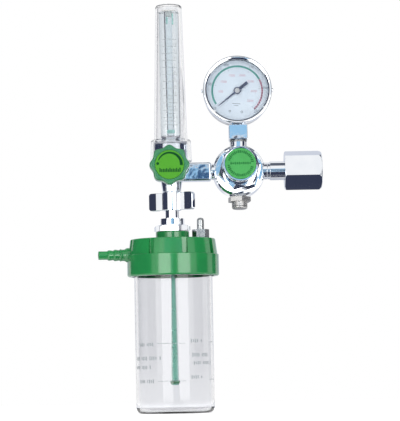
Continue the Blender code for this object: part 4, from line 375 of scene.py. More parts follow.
capGreen = plasticFinish("capGreen", (0.016, 0.25, 0.062), (0.012, 0.20, 0.052),
                         (0.16, 0.22), coat=0.5)
knobGreen = plasticFinish("knobGreen", (0.030, 0.205, 0.080), (0.023, 0.17, 0.066),
                          (0.22, 0.30), coat=0.3)
badgeGreen = plasticFinish("badgeGreen", (0.074, 0.33, 0.023), (0.064, 0.30, 0.019),
                           (0.28, 0.36), gloss=0.15)
roundelGreen = plasticFinish("roundelGreen", (0.065, 0.36, 0.090), (0.054, 0.31, 0.078),
                             (0.30, 0.38), gloss=0.15)
navyPaint = plasticFinish("navyPaint", (0.030, 0.040, 0.110), (0.022, 0.030, 0.080),
                          (0.30, 0.40))
dialPaper = plasticFinish("dialWhite", (0.74, 0.83, 0.92), (0.70, 0.79, 0.89), (0.40, 0.50))
blackRubber = plasticFinish("blackRubber", (0.030, 0.030, 0.031), (0.018, 0.018, 0.019),
                            (0.60, 0.75))
whiteNylon = plasticFinish("whiteNylon", (0.82, 0.81, 0.76), (0.76, 0.75, 0.70), (0.42, 0.52))
paleSilicone = plasticFinish("paleSilicone", (0.62, 0.63, 0.68), (0.55, 0.56, 0.61),
                             (0.40, 0.50))

clearAcrylic = clearFinish("clearAcrylic", (0.945, 0.950, 0.962), (0.932, 0.938, 0.950),
                           1.49, (0.02, 0.05))
clearBottle = clearFinish("clearBottle", (0.875, 0.88, 0.90), (0.86, 0.865, 0.885), 1.47,
                          (0.02, 0.06))
tubeAcrylic = clearFinish("tubeAcrylic", (0.855, 0.905, 0.925), (0.840, 0.893, 0.915), 1.49,
                          (0.11, 0.15))
gaugeGlass = clearFinish("gaugeGlass", (0.985, 0.99, 0.995), (0.98, 0.985, 0.99), 1.45,
                         (0.01, 0.03))
dipGreen = clearFinish("dipTubeGreen", (0.46, 0.76, 0.66), (0.42, 0.71, 0.61), 1.40,
                       (0.22, 0.30))

greyInk = inkFinish("greyInk", (0.40, 0.44, 0.45), (0.50, 0.54, 0.55))
paleInk = inkFinish("paleGreyInk", (0.30, 0.34, 0.36), (0.38, 0.42, 0.44))
greenInk = inkFinish("greenInk", (0.30, 0.56, 0.52), (0.36, 0.61, 0.57))
arcGreenInk = inkFinish("arcGreenInk", (0.085, 0.33, 0.29), (0.11, 0.37, 0.33))
arcRedInk = inkFinish("arcRedInk", (0.42, 0.10, 0.20), (0.52, 0.16, 0.26))
paleRedInk = inkFinish("paleRedInk", (0.62, 0.36, 0.44), (0.68, 0.44, 0.52))
darkInk = inkFinish("darkInk", (0.20, 0.24, 0.29), (0.26, 0.30, 0.35))
deepGreenInk = inkFinish("deepGreenInk", (0.002, 0.050, 0.012), (0.004, 0.065, 0.018))
roundelInk = inkFinish("roundelInk", (0.004, 0.085, 0.020), (0.006, 0.105, 0.026))
print("finishes made")


def barsShape(bars, thickness=inkThick):
    # Flat bars as (x, y, width, height, turn in degrees), cut fine enough to be bent
    bm = bmesh.new()
    for x, y, width, height, turn in bars:
        size = Matrix.Diagonal((width * mm, height * mm, 1, 1))
        bmesh.ops.create_grid(bm, x_segments=max(1, round(width / 1.2)), y_segments=1,
                              size=0.5, matrix=moveTo(x, y, 0) @ turnBy(turn, "Z") @ size)
    bmesh.ops.recalc_face_normals(bm, faces=bm.faces[:])
    bmesh.ops.solidify(bm, geom=bm.faces[:], thickness=thickness * mm)
    return bm


def arcShape(radius, width, start, end, thickness=inkThick, taper=1.0, sides=90):
    # A printed arc from start to end in degrees, narrower at its start where taper is below 1
    bm = bmesh.new()
    rim = [bm.verts.new(((radius + side * width / 2) * mm, 0, 0)) for side in (-1, 1)]
    steps = max(4, round(abs(end - start) / 360 * sides))
    bmesh.ops.spin(bm, geom=rim + [bm.edges.new(rim)], cent=(0, 0, 0), axis=(0, 0, 1),
                   angle=math.radians(end - start), steps=steps, use_duplicate=False)
    if taper < 1:
        span = math.radians(abs(end - start))
        for v in bm.verts:
            share = abs(math.atan2(v.co.y, v.co.x)) / span
            reach = v.co.length - radius * mm
            scale = taper + (1 - taper) * share
            v.co *= (radius * mm + reach * scale) / v.co.length
    bmesh.ops.rotate(bm, verts=bm.verts[:], cent=(0, 0, 0),
                     matrix=Matrix.Rotation(math.radians(start), 3, "Z"))
    bmesh.ops.solidify(bm, geom=bm.faces[:], thickness=thickness * mm)
    return bm


def numberShape(text, height, thickness):
    # A number as a flat mesh centred on the origin
    letters = bpy.data.curves.new("number", "FONT")
    letters.body = text
    letters.size = height / 0.7 * mm
    letters.align_x = "CENTER"
    letters.align_y = "CENTER"
    letters.extrude = thickness / 2 * mm
    letters.resolution_u = 4
    holder = newObject("number", letters)
    shape = bpy.data.meshes.new_from_object(evaluated(holder))
    bm = bmesh.new()
    bm.from_mesh(shape)
    bpy.data.objects.remove(holder)
    bpy.data.curves.remove(letters)
    bpy.data.meshes.remove(shape)
    bmesh.ops.remove_doubles(bm, verts=bm.verts[:], dist=weld)
    return bm


def together(parts):
    # Puts several small meshes into one
    bm = bmesh.new()
    for part in parts:
        mesh = meshFrom("part", part)
        bm.from_mesh(mesh)
        bpy.data.meshes.remove(mesh)
    return bm


def bentRound(bm, radius, lift):
    # Wraps a flat print round a tube that stands on Z, facing the front
    for v in bm.verts:
        angle = v.co.x / (radius * mm)
        reach = radius * mm + lift * mm + v.co.z
        v.co = Vector((reach * math.sin(angle), -reach * math.cos(angle), v.co.y))
    return bm


inlet = {
    "nutFlats": 30.6, "nutLength": 32.5, "nutTurn": -12.5, "webThickness": 6.0,
    "threadRadius": 11.45, "threadPitch": 1.81, "threadDepth": 0.55, "endRound": 4.5,
    "bore": 2.0, "stemRadius": 8.1, "stemStart": 6.9, "grooveRadius": 7.3, "grooveWidth": 2.0,
    "flangeRadius": 10.25, "flangeHigh": 4.3, "noseRadius": 6.0, "noseHigh": 13.3,
    "filterBore": 3.8, "filterSeat": 6.7, "washerBore": 6.3, "washerRadius": 9.95,
    "washerThickness": 2.5,
}


def makeInlet():
    d = inlet
    corner = blankRadius(d["nutFlats"])
    back = -d["nutLength"]
    web = back + d["webThickness"]
    hole = d["stemRadius"] + gap
    thread = d["threadRadius"]
    outline = [(hole, back), (corner - 2.0, back, 0.3), (corner, back + 1.2, 0.4),
               (corner, 0, d["endRound"]), (thread + 0.8, 0), (thread, -0.8)]
    turns = int((d["nutLength"] - d["webThickness"] - 3.0) / d["threadPitch"])
    for turn in range(turns):  # the thread, cut as rings
        z = -1.4 - turn * d["threadPitch"]
        outline += [(thread, z), (thread + d["threadDepth"], z - 0.6), (thread, z - 1.2)]
    nut = turnedShape(outline + [(thread, web), (hole, web)], 120)
    millHexagon(nut, d["nutFlats"], d["nutTurn"])
    softenEdges(nut, 0.35, 50, 3)
    addPiece("inletNut", nut, inletPlace, chrome, ["inlet_nut"], "inlet_nut")

    low = lowOf("inlet_stem").x
    start = low + d["stemStart"]
    groove = start + d["grooveWidth"]
    step = web + d["flangeHigh"]
    nose = web + d["noseHigh"]
    stem = turnedShape([
        (d["bore"], low), (spigotRadius, low, 0.3), (spigotRadius, start),
        (d["grooveRadius"], start), (d["grooveRadius"], groove),
        (d["stemRadius"], groove, 0.4), (d["stemRadius"], web + gap),
        (d["flangeRadius"], web + gap), (d["flangeRadius"], step, 0.4),
        (d["noseRadius"], step), (d["noseRadius"], nose, 0.8), (d["filterBore"], nose, 0.2),
        (d["filterBore"], web + d["filterSeat"]), (d["bore"], web + d["filterSeat"])])
    addPiece("inletStem", stem, inletPlace, chrome, ["inlet_stem"])
    low = step + gap
    washer = ringShape(d["washerBore"], d["washerRadius"], low, low + d["washerThickness"], 64,
                       0.3, 0.3)
    addPiece("inletWasher", washer, inletPlace, whiteNylon, ["inlet_washer"])
    plug = ringShape(0, d["filterBore"] - gap, web + d["filterSeat"] + gap, nose - gap, 48, 0.4)
    addPiece("inletFilter", plug, inletPlace, sinteredBronze, ["inlet_filter"])


regulator = {
    "radius": 22.5, "back": -12.5, "front": 7.5, "frontChamfer": 2.1, "frontDish": 0.7,
    "backRound": 3.0, "ringBore": 15.5, "ringFloor": 0.5, "bossRoot": 4.0,
    "inletBossRadius": 7.3, "inletBoss": 2.0, "outletBossRadius": 7.0, "outletBoss": 1.2,
    "gaugeBossRadius": 7.4,
    "bonnetFlats": 32.0, "bonnetTurn": 15.0, "hexLow": 7.8, "hexHigh": 13.0,
    "skirtRadius": 15.2, "skirtBore": 12.7, "skirtLow": 3.4, "springBore": 10.5,
    "screwBore": 4.8, "screwSeat": 36.4, "badgeSeat": 42.4,
    "bossRadius": 15.3, "bossTipRadius": 15.0, "bossTop": 44.0,
    "badgeRadius": 13.3, "badgeLow": 42.7, "badgeHigh": 43.7, "dashRadius": 10.3,
    "reliefFlats": 17.8, "reliefTurn": 20.0, "reliefBarrel": 6.75, "reliefHex": 4.0,
    "reliefTop": 7.8, "reliefWell": 4.2, "reliefVent": 1.2,
}


def makeRegulator():
    d = regulator
    r = d["radius"]
    front = d["front"]
    body = turnedShape([
        (0, d["back"]), (r, d["back"], d["backRound"]), (r, front - d["frontChamfer"], 0.5),
        (r - d["frontChamfer"], front, 0.3), (d["ringBore"], front - d["frontDish"]),
        (d["ringBore"], d["ringFloor"]), (0, d["ringFloor"])], 128)
    washerLow = (bodyPlace.inverted() @ (middleOf("gauge_washer") * mm)).y / mm - 0.5
    bosses = [
        (d["inletBossRadius"], d["inletBoss"], turnBy(90, "Y")),
        (d["outletBossRadius"], d["outletBoss"], turnBy(-90, "Y")),
        (d["gaugeBossRadius"], washerLow - gap - r, turnBy(-90, "X"))]
    tools = [placed(ringShape(0, radius, r - d["bossRoot"], r + rise, 64, 0.4), turn)
             for radius, rise, turn in bosses]
    addPiece("regulatorBody", shaped(body, tools, "UNION"), bodyPlace, chrome,
             ["regulator_body"])

    corner = blankRadius(d["bonnetFlats"])
    seat = d["badgeRadius"] + gap
    bonnet = turnedShape([
        (d["skirtBore"], d["skirtLow"]), (d["skirtRadius"], d["skirtLow"]),
        (d["skirtRadius"], d["hexLow"]), (corner, d["hexLow"]), (corner, d["hexHigh"] - 1.0),
        (corner - 1.7, d["hexHigh"]), (d["bossRadius"], d["hexHigh"]),
        (d["bossTipRadius"], d["bossTop"], 0.35), (seat, d["bossTop"] - 0.12),
        (seat, d["badgeSeat"]), (d["screwBore"], d["badgeSeat"]),
        (d["screwBore"], d["screwSeat"]), (d["springBore"], d["screwSeat"]),
        (d["springBore"], d["hexLow"]), (d["skirtBore"], 5.6)], 120)
    millHexagon(bonnet, d["bonnetFlats"], d["bonnetTurn"])
    softenEdges(bonnet, 0.25, 38, 2)
    addPiece("bonnetShell", bonnet, bodyPlace, chrome, ["bonnet"], sharpAngle=12)
    badge = ringShape(0, d["badgeRadius"], d["badgeLow"], d["badgeHigh"], 96, 0.35)
    addPiece("bonnetBadge", badge, bodyPlace, roundelGreen, ["bonnet_badge"])

    # Generic marks where such a badge is printed: a ring of short dashes and one row
    bars = [(*polar(9.0 * step, d["dashRadius"]), 2.5 if step % 3 else 1.7, 0.85, 9.0 * step)
            for step in range(40) if step % 20 not in (0, 19)]
    bars += [(-8.1 + 1.8 * step, 0.2, 0.9, (2.2, 1.5, 2.2, 1.8)[step % 4], 0)
             for step in range(10)]
    marks = placed(barsShape(bars), moveTo(0, 0, d["badgeHigh"] + inkLift))
    addPrint("badgeDashes", marks, bodyPlace, roundelInk)

    corner = blankRadius(d["reliefFlats"])
    barrel = d["reliefBarrel"]
    well = d["reliefWell"]
    vent = d["reliefVent"]
    top = r + gap
    hexTop = top + d["reliefHex"]
    relief = turnedShape([
        (vent, r - 4.6), (spigotRadius, r - 4.6), (spigotRadius, top), (corner, top, 0.3),
        (corner, hexTop, 0.5), (barrel, hexTop), (barrel, top + d["reliefTop"]),
        (well, top + d["reliefTop"]), (well, top + 1.4), (vent, top + 1.4)])
    millHexagon(relief, d["reliefFlats"], d["reliefTurn"])
    softenEdges(relief, 0.2, 45, 2)
    addPiece("reliefBody", relief, reliefPlace, nickel, ["relief_body"])
    cap = turnedShape([
        (1.0, top + 6.8), (well - gap, top + 6.8), (well - gap, top + 8.1),
        (barrel, top + 8.1, 0.2), (barrel, top + 10.3, 1.5), (1.0, top + 10.3)], 72)
    addPiece("reliefCap", cap, reliefPlace, nickel, ["relief_cap"])


gauge = {
    "squareWidth": 16.0, "squareTop": -30.3, "spigotLength": 12.0, "shankWidth": 11.0,
    "shankBack": -1.9, "shankFront": 6.5, "shankTop": -17.0,
    "slotWidth": 11.6, "slotDepth": 3.2, "slotBack": -6.8, "slotFront": 2.2,
    "washerBore": 5.8, "washerRadius": 7.4, "washerThickness": 1.0,
    "caseRadius": 28.5, "caseBack": -17.0, "caseFront": 7.0, "wall": 1.0, "backStep": 0.5,
    "backRadius": 22.5,
    "bezelRadius": 30.0, "bezelBack": 2.5, "bezelFront": 11.0, "bezelSeat": 9.4,
    "opening": 26.8, "lipRadius": 28.0,
    "windowLow": 7.3, "windowHigh": 9.1, "dialFront": 3.0, "dialRadius": 27.2,
    "dialThickness": 0.8, "arborHole": 1.1,
    "screwShank": 0.85, "screwHead": 1.7, "screwEnd": 27.5, "screwHeight": 2.25,
    "zero": 223.5, "full": -43.5,  # degrees, with the dial upright
    "arcRadius": 21.8, "arcWidth": 1.7, "redFrom": 32.0, "stripes": 13, "tickInk": 0.04,
    "outerNumbers": 24.6, "innerNumbers": 14.4,
    "pointerReach": 22.2, "pointerTail": 11.4, "pointerLow": 4.2, "hubRadius": 3.1,
    "hubLow": 3.9, "hubHigh": 4.8, "tailHalf": 1.3, "bladeHalf": 0.8, "tipHalf": 0.35,
}


def onDial(angle, radius):
    return moveTo(*polar(angle, radius), 0)


def makeGauge():
    d = gauge
    half = d["squareWidth"] / 2
    arm = d["shankWidth"] / 2
    upward = turnBy(-90, "X")
    washerTop = (gaugePlace.inverted() @ (middleOf("gauge_washer") * mm)).y / mm + 0.5
    bottom = washerTop + gap
    square = placed(blockShape((-half, -half, bottom), (half, half, d["squareTop"]), 0.7), upward)
    shank = placed(blockShape((-arm, d["shankBack"], d["squareTop"] - 1),
                              (arm, d["shankFront"], d["shankTop"])), upward)
    spigot = placed(ringShape(0, spigotRadius, bottom - d["spigotLength"], bottom + 1, 48),
                    upward)
    addPiece("gaugeSocket", shaped(square, [shank, spigot], "UNION"), gaugePlace, wavyChrome,
             ["gauge_socket"])
    washer = ringShape(d["washerBore"], d["washerRadius"], washerTop - d["washerThickness"],
                       washerTop, 64, 0.2, 0.2)
    addPiece("gaugeWasher", placed(washer, upward), gaugePlace, greyNickel, ["gauge_washer"])

    r = d["caseRadius"]
    back = d["caseBack"]
    rim = back + d["backStep"]
    floor = rim + d["wall"]
    case = turnedShape([
        (0, back), (d["backRadius"], back, 1.0), (d["backRadius"] + 1.4, rim, 0.5),
        (r, rim, 2.4), (r, d["caseFront"]), (r - d["wall"], d["caseFront"]),
        (r - d["wall"], floor, 1.4), (0, floor)], 128)
    slot = d["slotWidth"] / 2
    slotCut = blockShape((-slot, -r - 1, d["slotBack"]),
                         (slot, -r + d["slotDepth"], d["slotFront"]))
    addPiece("gaugeCase", shaped(case, [slotCut], "DIFFERENCE"), gaugePlace, satinChrome,
             ["gauge_case"])

    outer = d["bezelRadius"]
    front = d["bezelFront"]
    bezel = turnedShape([
        (r + gap, d["bezelBack"]), (outer - 0.4, d["bezelBack"], 0.2),
        (outer, d["bezelBack"] + 0.8), (outer, front, 1.3), (d["lipRadius"] + 0.9, front, 0.5),
        (d["lipRadius"], front - 0.25, 0.3), (d["opening"], d["bezelSeat"] + 0.4, 0.2),
        (d["opening"], d["bezelSeat"]), (r + gap, d["bezelSeat"])], 160)
    addPiece("gaugeBezel", bezel, gaugePlace, chrome, ["gauge_bezel"])
    window = ringShape(0, r - gap, d["windowLow"], d["windowHigh"], 96, 0.2, 0.2)
    letLightThrough(addPiece("gaugeWindow", window, gaugePlace, gaugeGlass, ["gauge_window"]))
    dial = ringShape(d["arborHole"], d["dialRadius"], d["dialFront"] - d["dialThickness"],
                     d["dialFront"], 128, 0.1)
    addPiece("gaugeDial", dial, gaugePlace, dialPaper, ["gauge_dial"])

    for side, turn in (("Left", -90), ("Right", 90)):
        screw = turnedShape([
            (0, d["screwEnd"]), (d["screwShank"], d["screwEnd"]), (d["screwShank"], outer + gap),
            (d["screwHead"], outer + gap), (d["screwHead"], outer + 1.4, 0.7),
            (0, outer + 1.4)], 32)
        slotBar = blockShape((-2, -0.25, outer + 1.0), (2, 0.25, outer + 2))
        screw = placed(shaped(screw, [slotBar], "DIFFERENCE"),
                       moveTo(0, 0, d["bezelBack"] + d["screwHeight"]) @ turnBy(turn, "Y"))
        addPiece("bezelScrew" + side, screw, gaugePlace, chrome,
                 ["bezel_screw_" + side.lower()])


def makeDialPrint():
    d = gauge
    zero, full, redFrom = d["zero"], d["full"], d["redFrom"]
    ring = (d["arcRadius"], d["arcWidth"])
    ink = d["tickInk"]
    face = dialPlace @ moveTo(0, 0, d["dialFront"] + inkLift)
    addPrint("dialGreenArc", arcShape(*ring, redFrom, zero - 7), face, arcGreenInk)
    starts = [full + (redFrom - full) / d["stripes"] * step for step in range(d["stripes"])]
    addPrint("dialRedArc", together([arcShape(*ring, start, start + 3.9) for start in starts]),
             face, arcRedInk)
    band = arcShape(d["arcRadius"], d["arcWidth"] * 0.8, full, redFrom, 0.03)
    addPrint("dialRedGround", band, face, paleRedInk)

    sweep = zero - full
    ticks = []
    for step in range(51):
        angle = zero - sweep * step / 50
        long, thick = (1.6, 0.3) if step % 10 == 0 else (0.9, 0.16)
        place = onDial(angle, d["arcRadius"] - 1.5 - long / 2) @ turnBy(angle, "Z")
        ticks.append(placed(barsShape([(0, 0, long, thick, 0)], ink), place))
    for step in range(6):
        ticks.append(placed(numberShape(str(50 * step), 2.3, ink),
                            onDial(zero - sweep * step / 5, d["outerNumbers"])))
    # Two round marks and a short dash stand where a maker's notes are
    for x in (-5.2, 5.2):
        ticks.append(placed(arcShape(0.8, 0.5, 0, 359, ink, sides=24), moveTo(x, -18.4, 0)))
    ticks.append(barsShape([(0, -11.4, 7.0, 0.5, 0), (0, -13.0, 4.0, 0.4, 0)], ink))
    addPrint("dialScale", together(ticks), face, darkInk)
    inner = [placed(numberShape(str(500 * step), 2.0, ink),
                    onDial(zero - sweep * step / 7.25, d["innerNumbers"]))
             for step in range(1, 8)]
    addPrint("dialInnerNumbers", together(inner), face, paleRedInk)


def makePointer():
    d = gauge
    hub, reach, tail = d["hubRadius"], d["pointerReach"], d["pointerTail"]
    wide, slim, tip = d["tailHalf"], d["bladeHalf"], d["tipHalf"]
    outline = [(-tail, wide), (-tail, -wide), (-hub, -wide), (hub, -slim), (reach - 3, -tip),
               (reach, 0), (reach - 3, tip), (hub, slim), (-hub, wide)]
    pointer = bmesh.new()
    blade = pointer.faces.new([pointer.verts.new((x * mm, y * mm, d["pointerLow"] * mm))
                               for x, y in outline])
    raiseFaces(pointer, [blade], 0.5)
    softenEdges(pointer, 0.08, 60, 2)
    low, high = d["hubLow"], d["hubHigh"]
    boss = turnedShape([(0, low), (hub, low, 0.1), (hub, high, 0.3), (hub - 0.8, high),
                        (0, high)], 64)
    addPiece("gaugePointer", shaped(pointer, [boss], "UNION"),
             dialPlace @ turnBy(d["zero"], "Z"), navyPaint, ["gauge_pointer"],
             "pointer")
    cover = ringShape(0, hub - 0.75, high + 0.02, high + 0.6, 48, 0.45)
    addPiece("pointerHub", cover, gaugePlace, satinChrome, [], "pointer")


flow = {
    "blockRadius": 14.35, "blockTop": 24.4, "blockBottom": -6.8, "tubeBossRadius": 8.5,
    "bossTop": 30.0, "bossBore": 4.15, "bossFloor": 27.0, "coneTop": 9.35, "coneBottom": 8.0,
    "coneHigh": -8.6, "coneLow": -16.8, "outletRadius": 7.15, "outletBore": 3.2,
    "armSize": 16.0, "armLength": 34.7, "armEdge": 2.0, "seatBore": 2.6, "seatLow": 2.4,
    "packingBore": 3.9, "packingLow": 8.6, "holeEnd": 16.0,
    "collarLow": 9.3, "collarHigh": 28.4, "collarRadius": 18.0, "collarTopRadius": 17.3,
    "collarFloor": 26.2, "coverTop": 146.8, "coverBaseRadius": 14.45, "coverTopRadius": 11.4,
    "coverWall": 2.0, "roof": 2.3,
    "tubeRadius": 8.7, "tubeLow": 31.4, "tubeHigh": 140.4, "boreLow": 2.25, "boreHigh": 3.2,
    "neckLow": 27.3, "stopBore": 1.2, "stopTip": 2.5, "stopNeck": 2.9, "stopRadius": 6.0,
    "stopLow": 136.4, "stopSeat": 140.7, "stopTop": 141.9,
    "ballRadius": 2.0, "lowerStep": 3.2, "upperStep": 6.14, "firstLine": 40.9,
    "lineReach": 42.0, "scaleLift": 0.03,
    "patches": [(-1.6, 132.0, 1.5, 6.0, 0), (3.2, 134.0, 1.3, 8.5, 0),
                (3.2, 129.2, 1.6, 1.6, 0), (0.2, 34.9, 6.6, 3.2, 0)],
}


def makeFlowBlock():
    d = flow
    end = lowOf("flow_block").z
    side, boss, outlet = d["blockRadius"], d["tubeBossRadius"], d["outletRadius"]
    block = turnedShape([
        (0, -1.0), (d["outletBore"], -1.0), (d["outletBore"], end), (outlet, end, 0.6),
        (outlet, d["coneLow"]), (d["coneBottom"], d["coneLow"], 0.3),
        (d["coneTop"], d["coneHigh"]), (side, d["blockBottom"], 1.6), (side, d["blockTop"], 0.5),
        (boss, d["blockTop"]), (boss, d["bossTop"], 0.4), (d["bossBore"], d["bossTop"]),
        (d["bossBore"], d["bossFloor"]), (0, d["bossFloor"])], 128)
    half = d["armSize"] / 2
    arm = blockShape((5.2, -half, -half), (d["armLength"], half, half), d["armEdge"], 5)
    spigot = placed(ringShape(0, spigotRadius, d["armLength"] - 3, d["armLength"] + 8.0, 48),
                    inletPlace)
    block = shaped(block, [arm, spigot], "UNION")
    needleHole = turnedShape([
        (0, d["seatLow"]), (d["seatBore"], d["seatLow"]), (d["seatBore"], d["packingLow"]),
        (d["packingBore"], d["packingLow"]), (d["packingBore"], d["holeEnd"]),
        (0, d["holeEnd"])], 48)
    shift = moveTo(needleX - flowX, 0, axes["needleHeight"]) @ turnBy(90, "X")
    block = shaped(block, [placed(needleHole, shift)], "DIFFERENCE")
    addPiece("flowBlock", block, flowPlace, wavyChrome, ["flow_block"])


def makeFlowTubes():
    d = flow
    side, collar = d["blockRadius"], d["collarHigh"]
    seal = ringShape(side - 2.0, side, 24.7, 25.9, 96, 0.5, 0.5, 0.3)
    addPiece("coverSeal", seal, flowPlace, paleSilicone, ["cover_seal"])
    inside = d["coverTop"] - d["roof"]
    cover = turnedShape([
        (0, inside), (d["coverTopRadius"] - d["coverWall"], inside, 1.2),
        (d["coverBaseRadius"] - d["coverWall"], d["collarFloor"]),
        (side + gap, d["collarFloor"]), (side + gap, d["collarLow"]),
        (d["collarRadius"], d["collarLow"], 0.7), (d["collarTopRadius"], collar, 1.4),
        (d["coverBaseRadius"], collar), (d["coverTopRadius"], d["coverTop"], 2.7),
        (0, d["coverTop"])], 128)
    letLightThrough(addPiece("flowCover", cover, flowPlace, clearAcrylic, ["flow_cover"]))
    bore, low, high = d["boreLow"], d["tubeLow"], d["tubeHigh"]
    neck = d["bossBore"] - gap
    tube = turnedShape([
        (bore, d["neckLow"]), (neck, d["neckLow"], 0.2), (neck, low),
        (d["tubeRadius"], low, 0.5), (d["tubeRadius"], high, 0.5), (d["boreHigh"], high),
        (bore, low)])
    letLightThrough(addPiece("flowTube", tube, flowPlace, tubeAcrylic, ["flow_tube"]))
    ring = ringShape(d["bossBore"], d["tubeBossRadius"], 30.3, 31.1, 64, 0.3, 0.3, 0.2)
    addPiece("tubeSeal", ring, flowPlace, paleSilicone, ["tube_seal"])
    seat, top = d["stopSeat"], d["stopTop"]
    stop = turnedShape([
        (d["stopBore"], d["stopLow"]), (d["stopTip"], d["stopLow"], 0.2), (d["stopNeck"], seat),
        (d["stopRadius"], seat, 0.2), (d["stopRadius"], top, 0.4), (d["stopBore"], top, 0.2)],
        64)
    addPiece("ballStop", stop, flowPlace, whiteNylon, ["ball_stop"])

    centre = lowOf("flow_ball").z + d["ballRadius"]
    arc = [polar(angle, d["ballRadius"]) for angle in range(0, 181, 10)]
    ball = turnedShape([(across, centre - along) for along, across in arc], 36)
    addPiece("flowBall", ball, flowPlace, springSteel, ["flow_ball"], "float")


def makeFlowScale():
    # Graduations close together below and wider apart above, as the taper spreads them
    d = flow
    heights = [d["firstLine"] + d["lowerStep"] * k for k in range(9)]
    heights += [heights[-1] + d["upperStep"] * k for k in range(1, 9)]
    reach = math.radians(d["lineReach"]) * d["tubeRadius"]
    bars = [(0, z, reach * 2 if index % 2 == 0 or index > 8 else reach * 1.4, 0.45, 0)
            for index, z in enumerate(heights)]
    labelled = [z for index, z in enumerate(heights) if index >= 8 or index % 4 == 0]
    numbers = [placed(numberShape(str(value), 2.1, 0.05), moveTo(reach * 0.72, z + 1.9, 0))
               for value, z in enumerate(labelled[:10], 1)]
    for name, shape, ink, slot in (
            ("Lines", barsShape(bars, 0.06), greyInk, "navy_paint"),
            ("Numbers", together(numbers), greyInk, "navy_paint"),
            ("Patches", barsShape(d["patches"], 0.06), greenInk, "green_plastic")):
        addPrint("flowScale" + name, bentRound(shape, d["tubeRadius"], d["scaleLift"]),
                 flowPlace, ink)


knob = {
    "radius": 17.2, "valley": 1.9, "lobes": 8, "back": 22.25, "front": 37.25, "edge": 1.6,
    "backEdge": 0.8, "badgeRadius": 12.4, "badgeThickness": 0.9, "arcRadius": 10.1,
    "sleeveRadius": 4.9, "skirtBore": 11.7, "hollowTop": 31.4, "bore": 1.9, "boreTop": 34.05,
    "arcWidth": 2.6, "arcStart": 158, "arcEnd": -4, "arcTaper": 0.35,
}


def makeKnob():
    d = knob
    under = d["back"] - 1
    mean = d["radius"] - d["valley"] / 2
    body = bmesh.new()
    bmesh.ops.create_circle(body, cap_ends=True, segments=192, radius=mean * mm,
                            matrix=moveTo(0, 0, d["back"]))
    for v in body.verts:  # the lobes
        angle = math.atan2(v.co.y, v.co.x)
        wave = d["valley"] / 2 * math.cos(d["lobes"] * angle)
        v.co.x *= (mean + wave) / mean
        v.co.y *= (mean + wave) / mean
    raiseFaces(body, body.faces[:], d["front"] - d["back"])
    rims = [e for e in body.edges if abs(e.verts[0].co.z - e.verts[1].co.z) < seam]
    front = [e for e in rims if e.verts[0].co.z > d["front"] * mm - 1e-5]
    back = [e for e in rims if e.verts[0].co.z < d["front"] * mm - 1e-5]
    bevelled(body, front, d["edge"], 5)
    bevelled(body, back, d["backEdge"], 3)
    floor = d["front"] - d["badgeThickness"] - gap
    recess = ringShape(0, d["badgeRadius"] + gap, floor, d["front"] + 2, 128)
    hollow = ringShape(d["sleeveRadius"], d["skirtBore"], under, d["hollowTop"], 96, 0.8)
    bore = ringShape(0, d["bore"], under, d["boreTop"], 48)
    body = shaped(body, [recess, hollow, bore], "DIFFERENCE")
    addPiece("flowKnob", body, needlePlace, knobGreen, ["flow_knob"], "knob",
             sharpAngle=40)
    badge = ringShape(0, d["badgeRadius"], floor + gap, d["front"], 96, 0.3)
    addPiece("knobBadge", badge, needlePlace, badgeGreen, ["knob_badge"],
             "knob")

    # A turning mark that grows clockwise from a dot, and a row of bars below it
    face = needlePlace @ moveTo(0, 0, d["front"] + inkLift)
    arc = arcShape(d["arcRadius"], d["arcWidth"], d["arcStart"], d["arcEnd"],
                   taper=d["arcTaper"])
    dot = placed(arcShape(0.65, 1.2, 0, 359.9, sides=28), moveTo(-d["arcRadius"], 0.9, 0))
    bars = []
    for step in range(13):
        tall = (3.6, 2.6, 3.0, 2.6, 3.4, 2.4)[step % 6]
        bars.append((-8.2 + 1.42 * step, -5.0 + (tall - 3.0) / 2, 1.0, tall, 0))
    addPrint("knobMarks", together([arc, dot, barsShape(bars)]), face, deepGreenInk,
             "knob")


needle = {
    "stemRadius": 1.6, "threadRadius": 2.3, "tipRadius": 0.4, "tip": 2.1, "threadLow": 5.6,
    "threadHigh": 8.0, "top": 33.75,
    "glandFlats": 11.0, "glandBlank": 6.65, "glandBore": 1.9, "glandRadius": 3.6,
    "glandLow": 11.0, "glandHex": 14.65, "glandHigh": 19.65,
}


def makeNeedleValve():
    d = needle
    stem, thread = d["stemRadius"], d["threadRadius"]
    spindle = turnedShape([
        (0, d["tip"]), (d["tipRadius"], d["tip"]), (stem, d["threadLow"]),
        (thread, d["threadLow"], 0.2), (thread, d["threadHigh"], 0.2), (stem, d["threadHigh"]),
        (stem, d["top"], 0.3), (0, d["top"])], 48)
    addPiece("needleSpindle", spindle, needlePlace, brass, ["needle_spindle"], "knob")
    corner, hexLow, high = d["glandBlank"], d["glandHex"], d["glandHigh"]
    gland = turnedShape([
        (d["glandBore"], d["glandLow"]), (d["glandRadius"], d["glandLow"]),
        (d["glandRadius"], hexLow), (corner, hexLow), (corner, high - 0.6),
        (corner - 0.6, high), (d["glandBore"], high)], 72)
    millHexagon(gland, d["glandFlats"], 0)
    softenEdges(gland, 0.2, 45, 2)
    addPiece("glandNut", gland, needlePlace, chrome, ["gland_nut"])


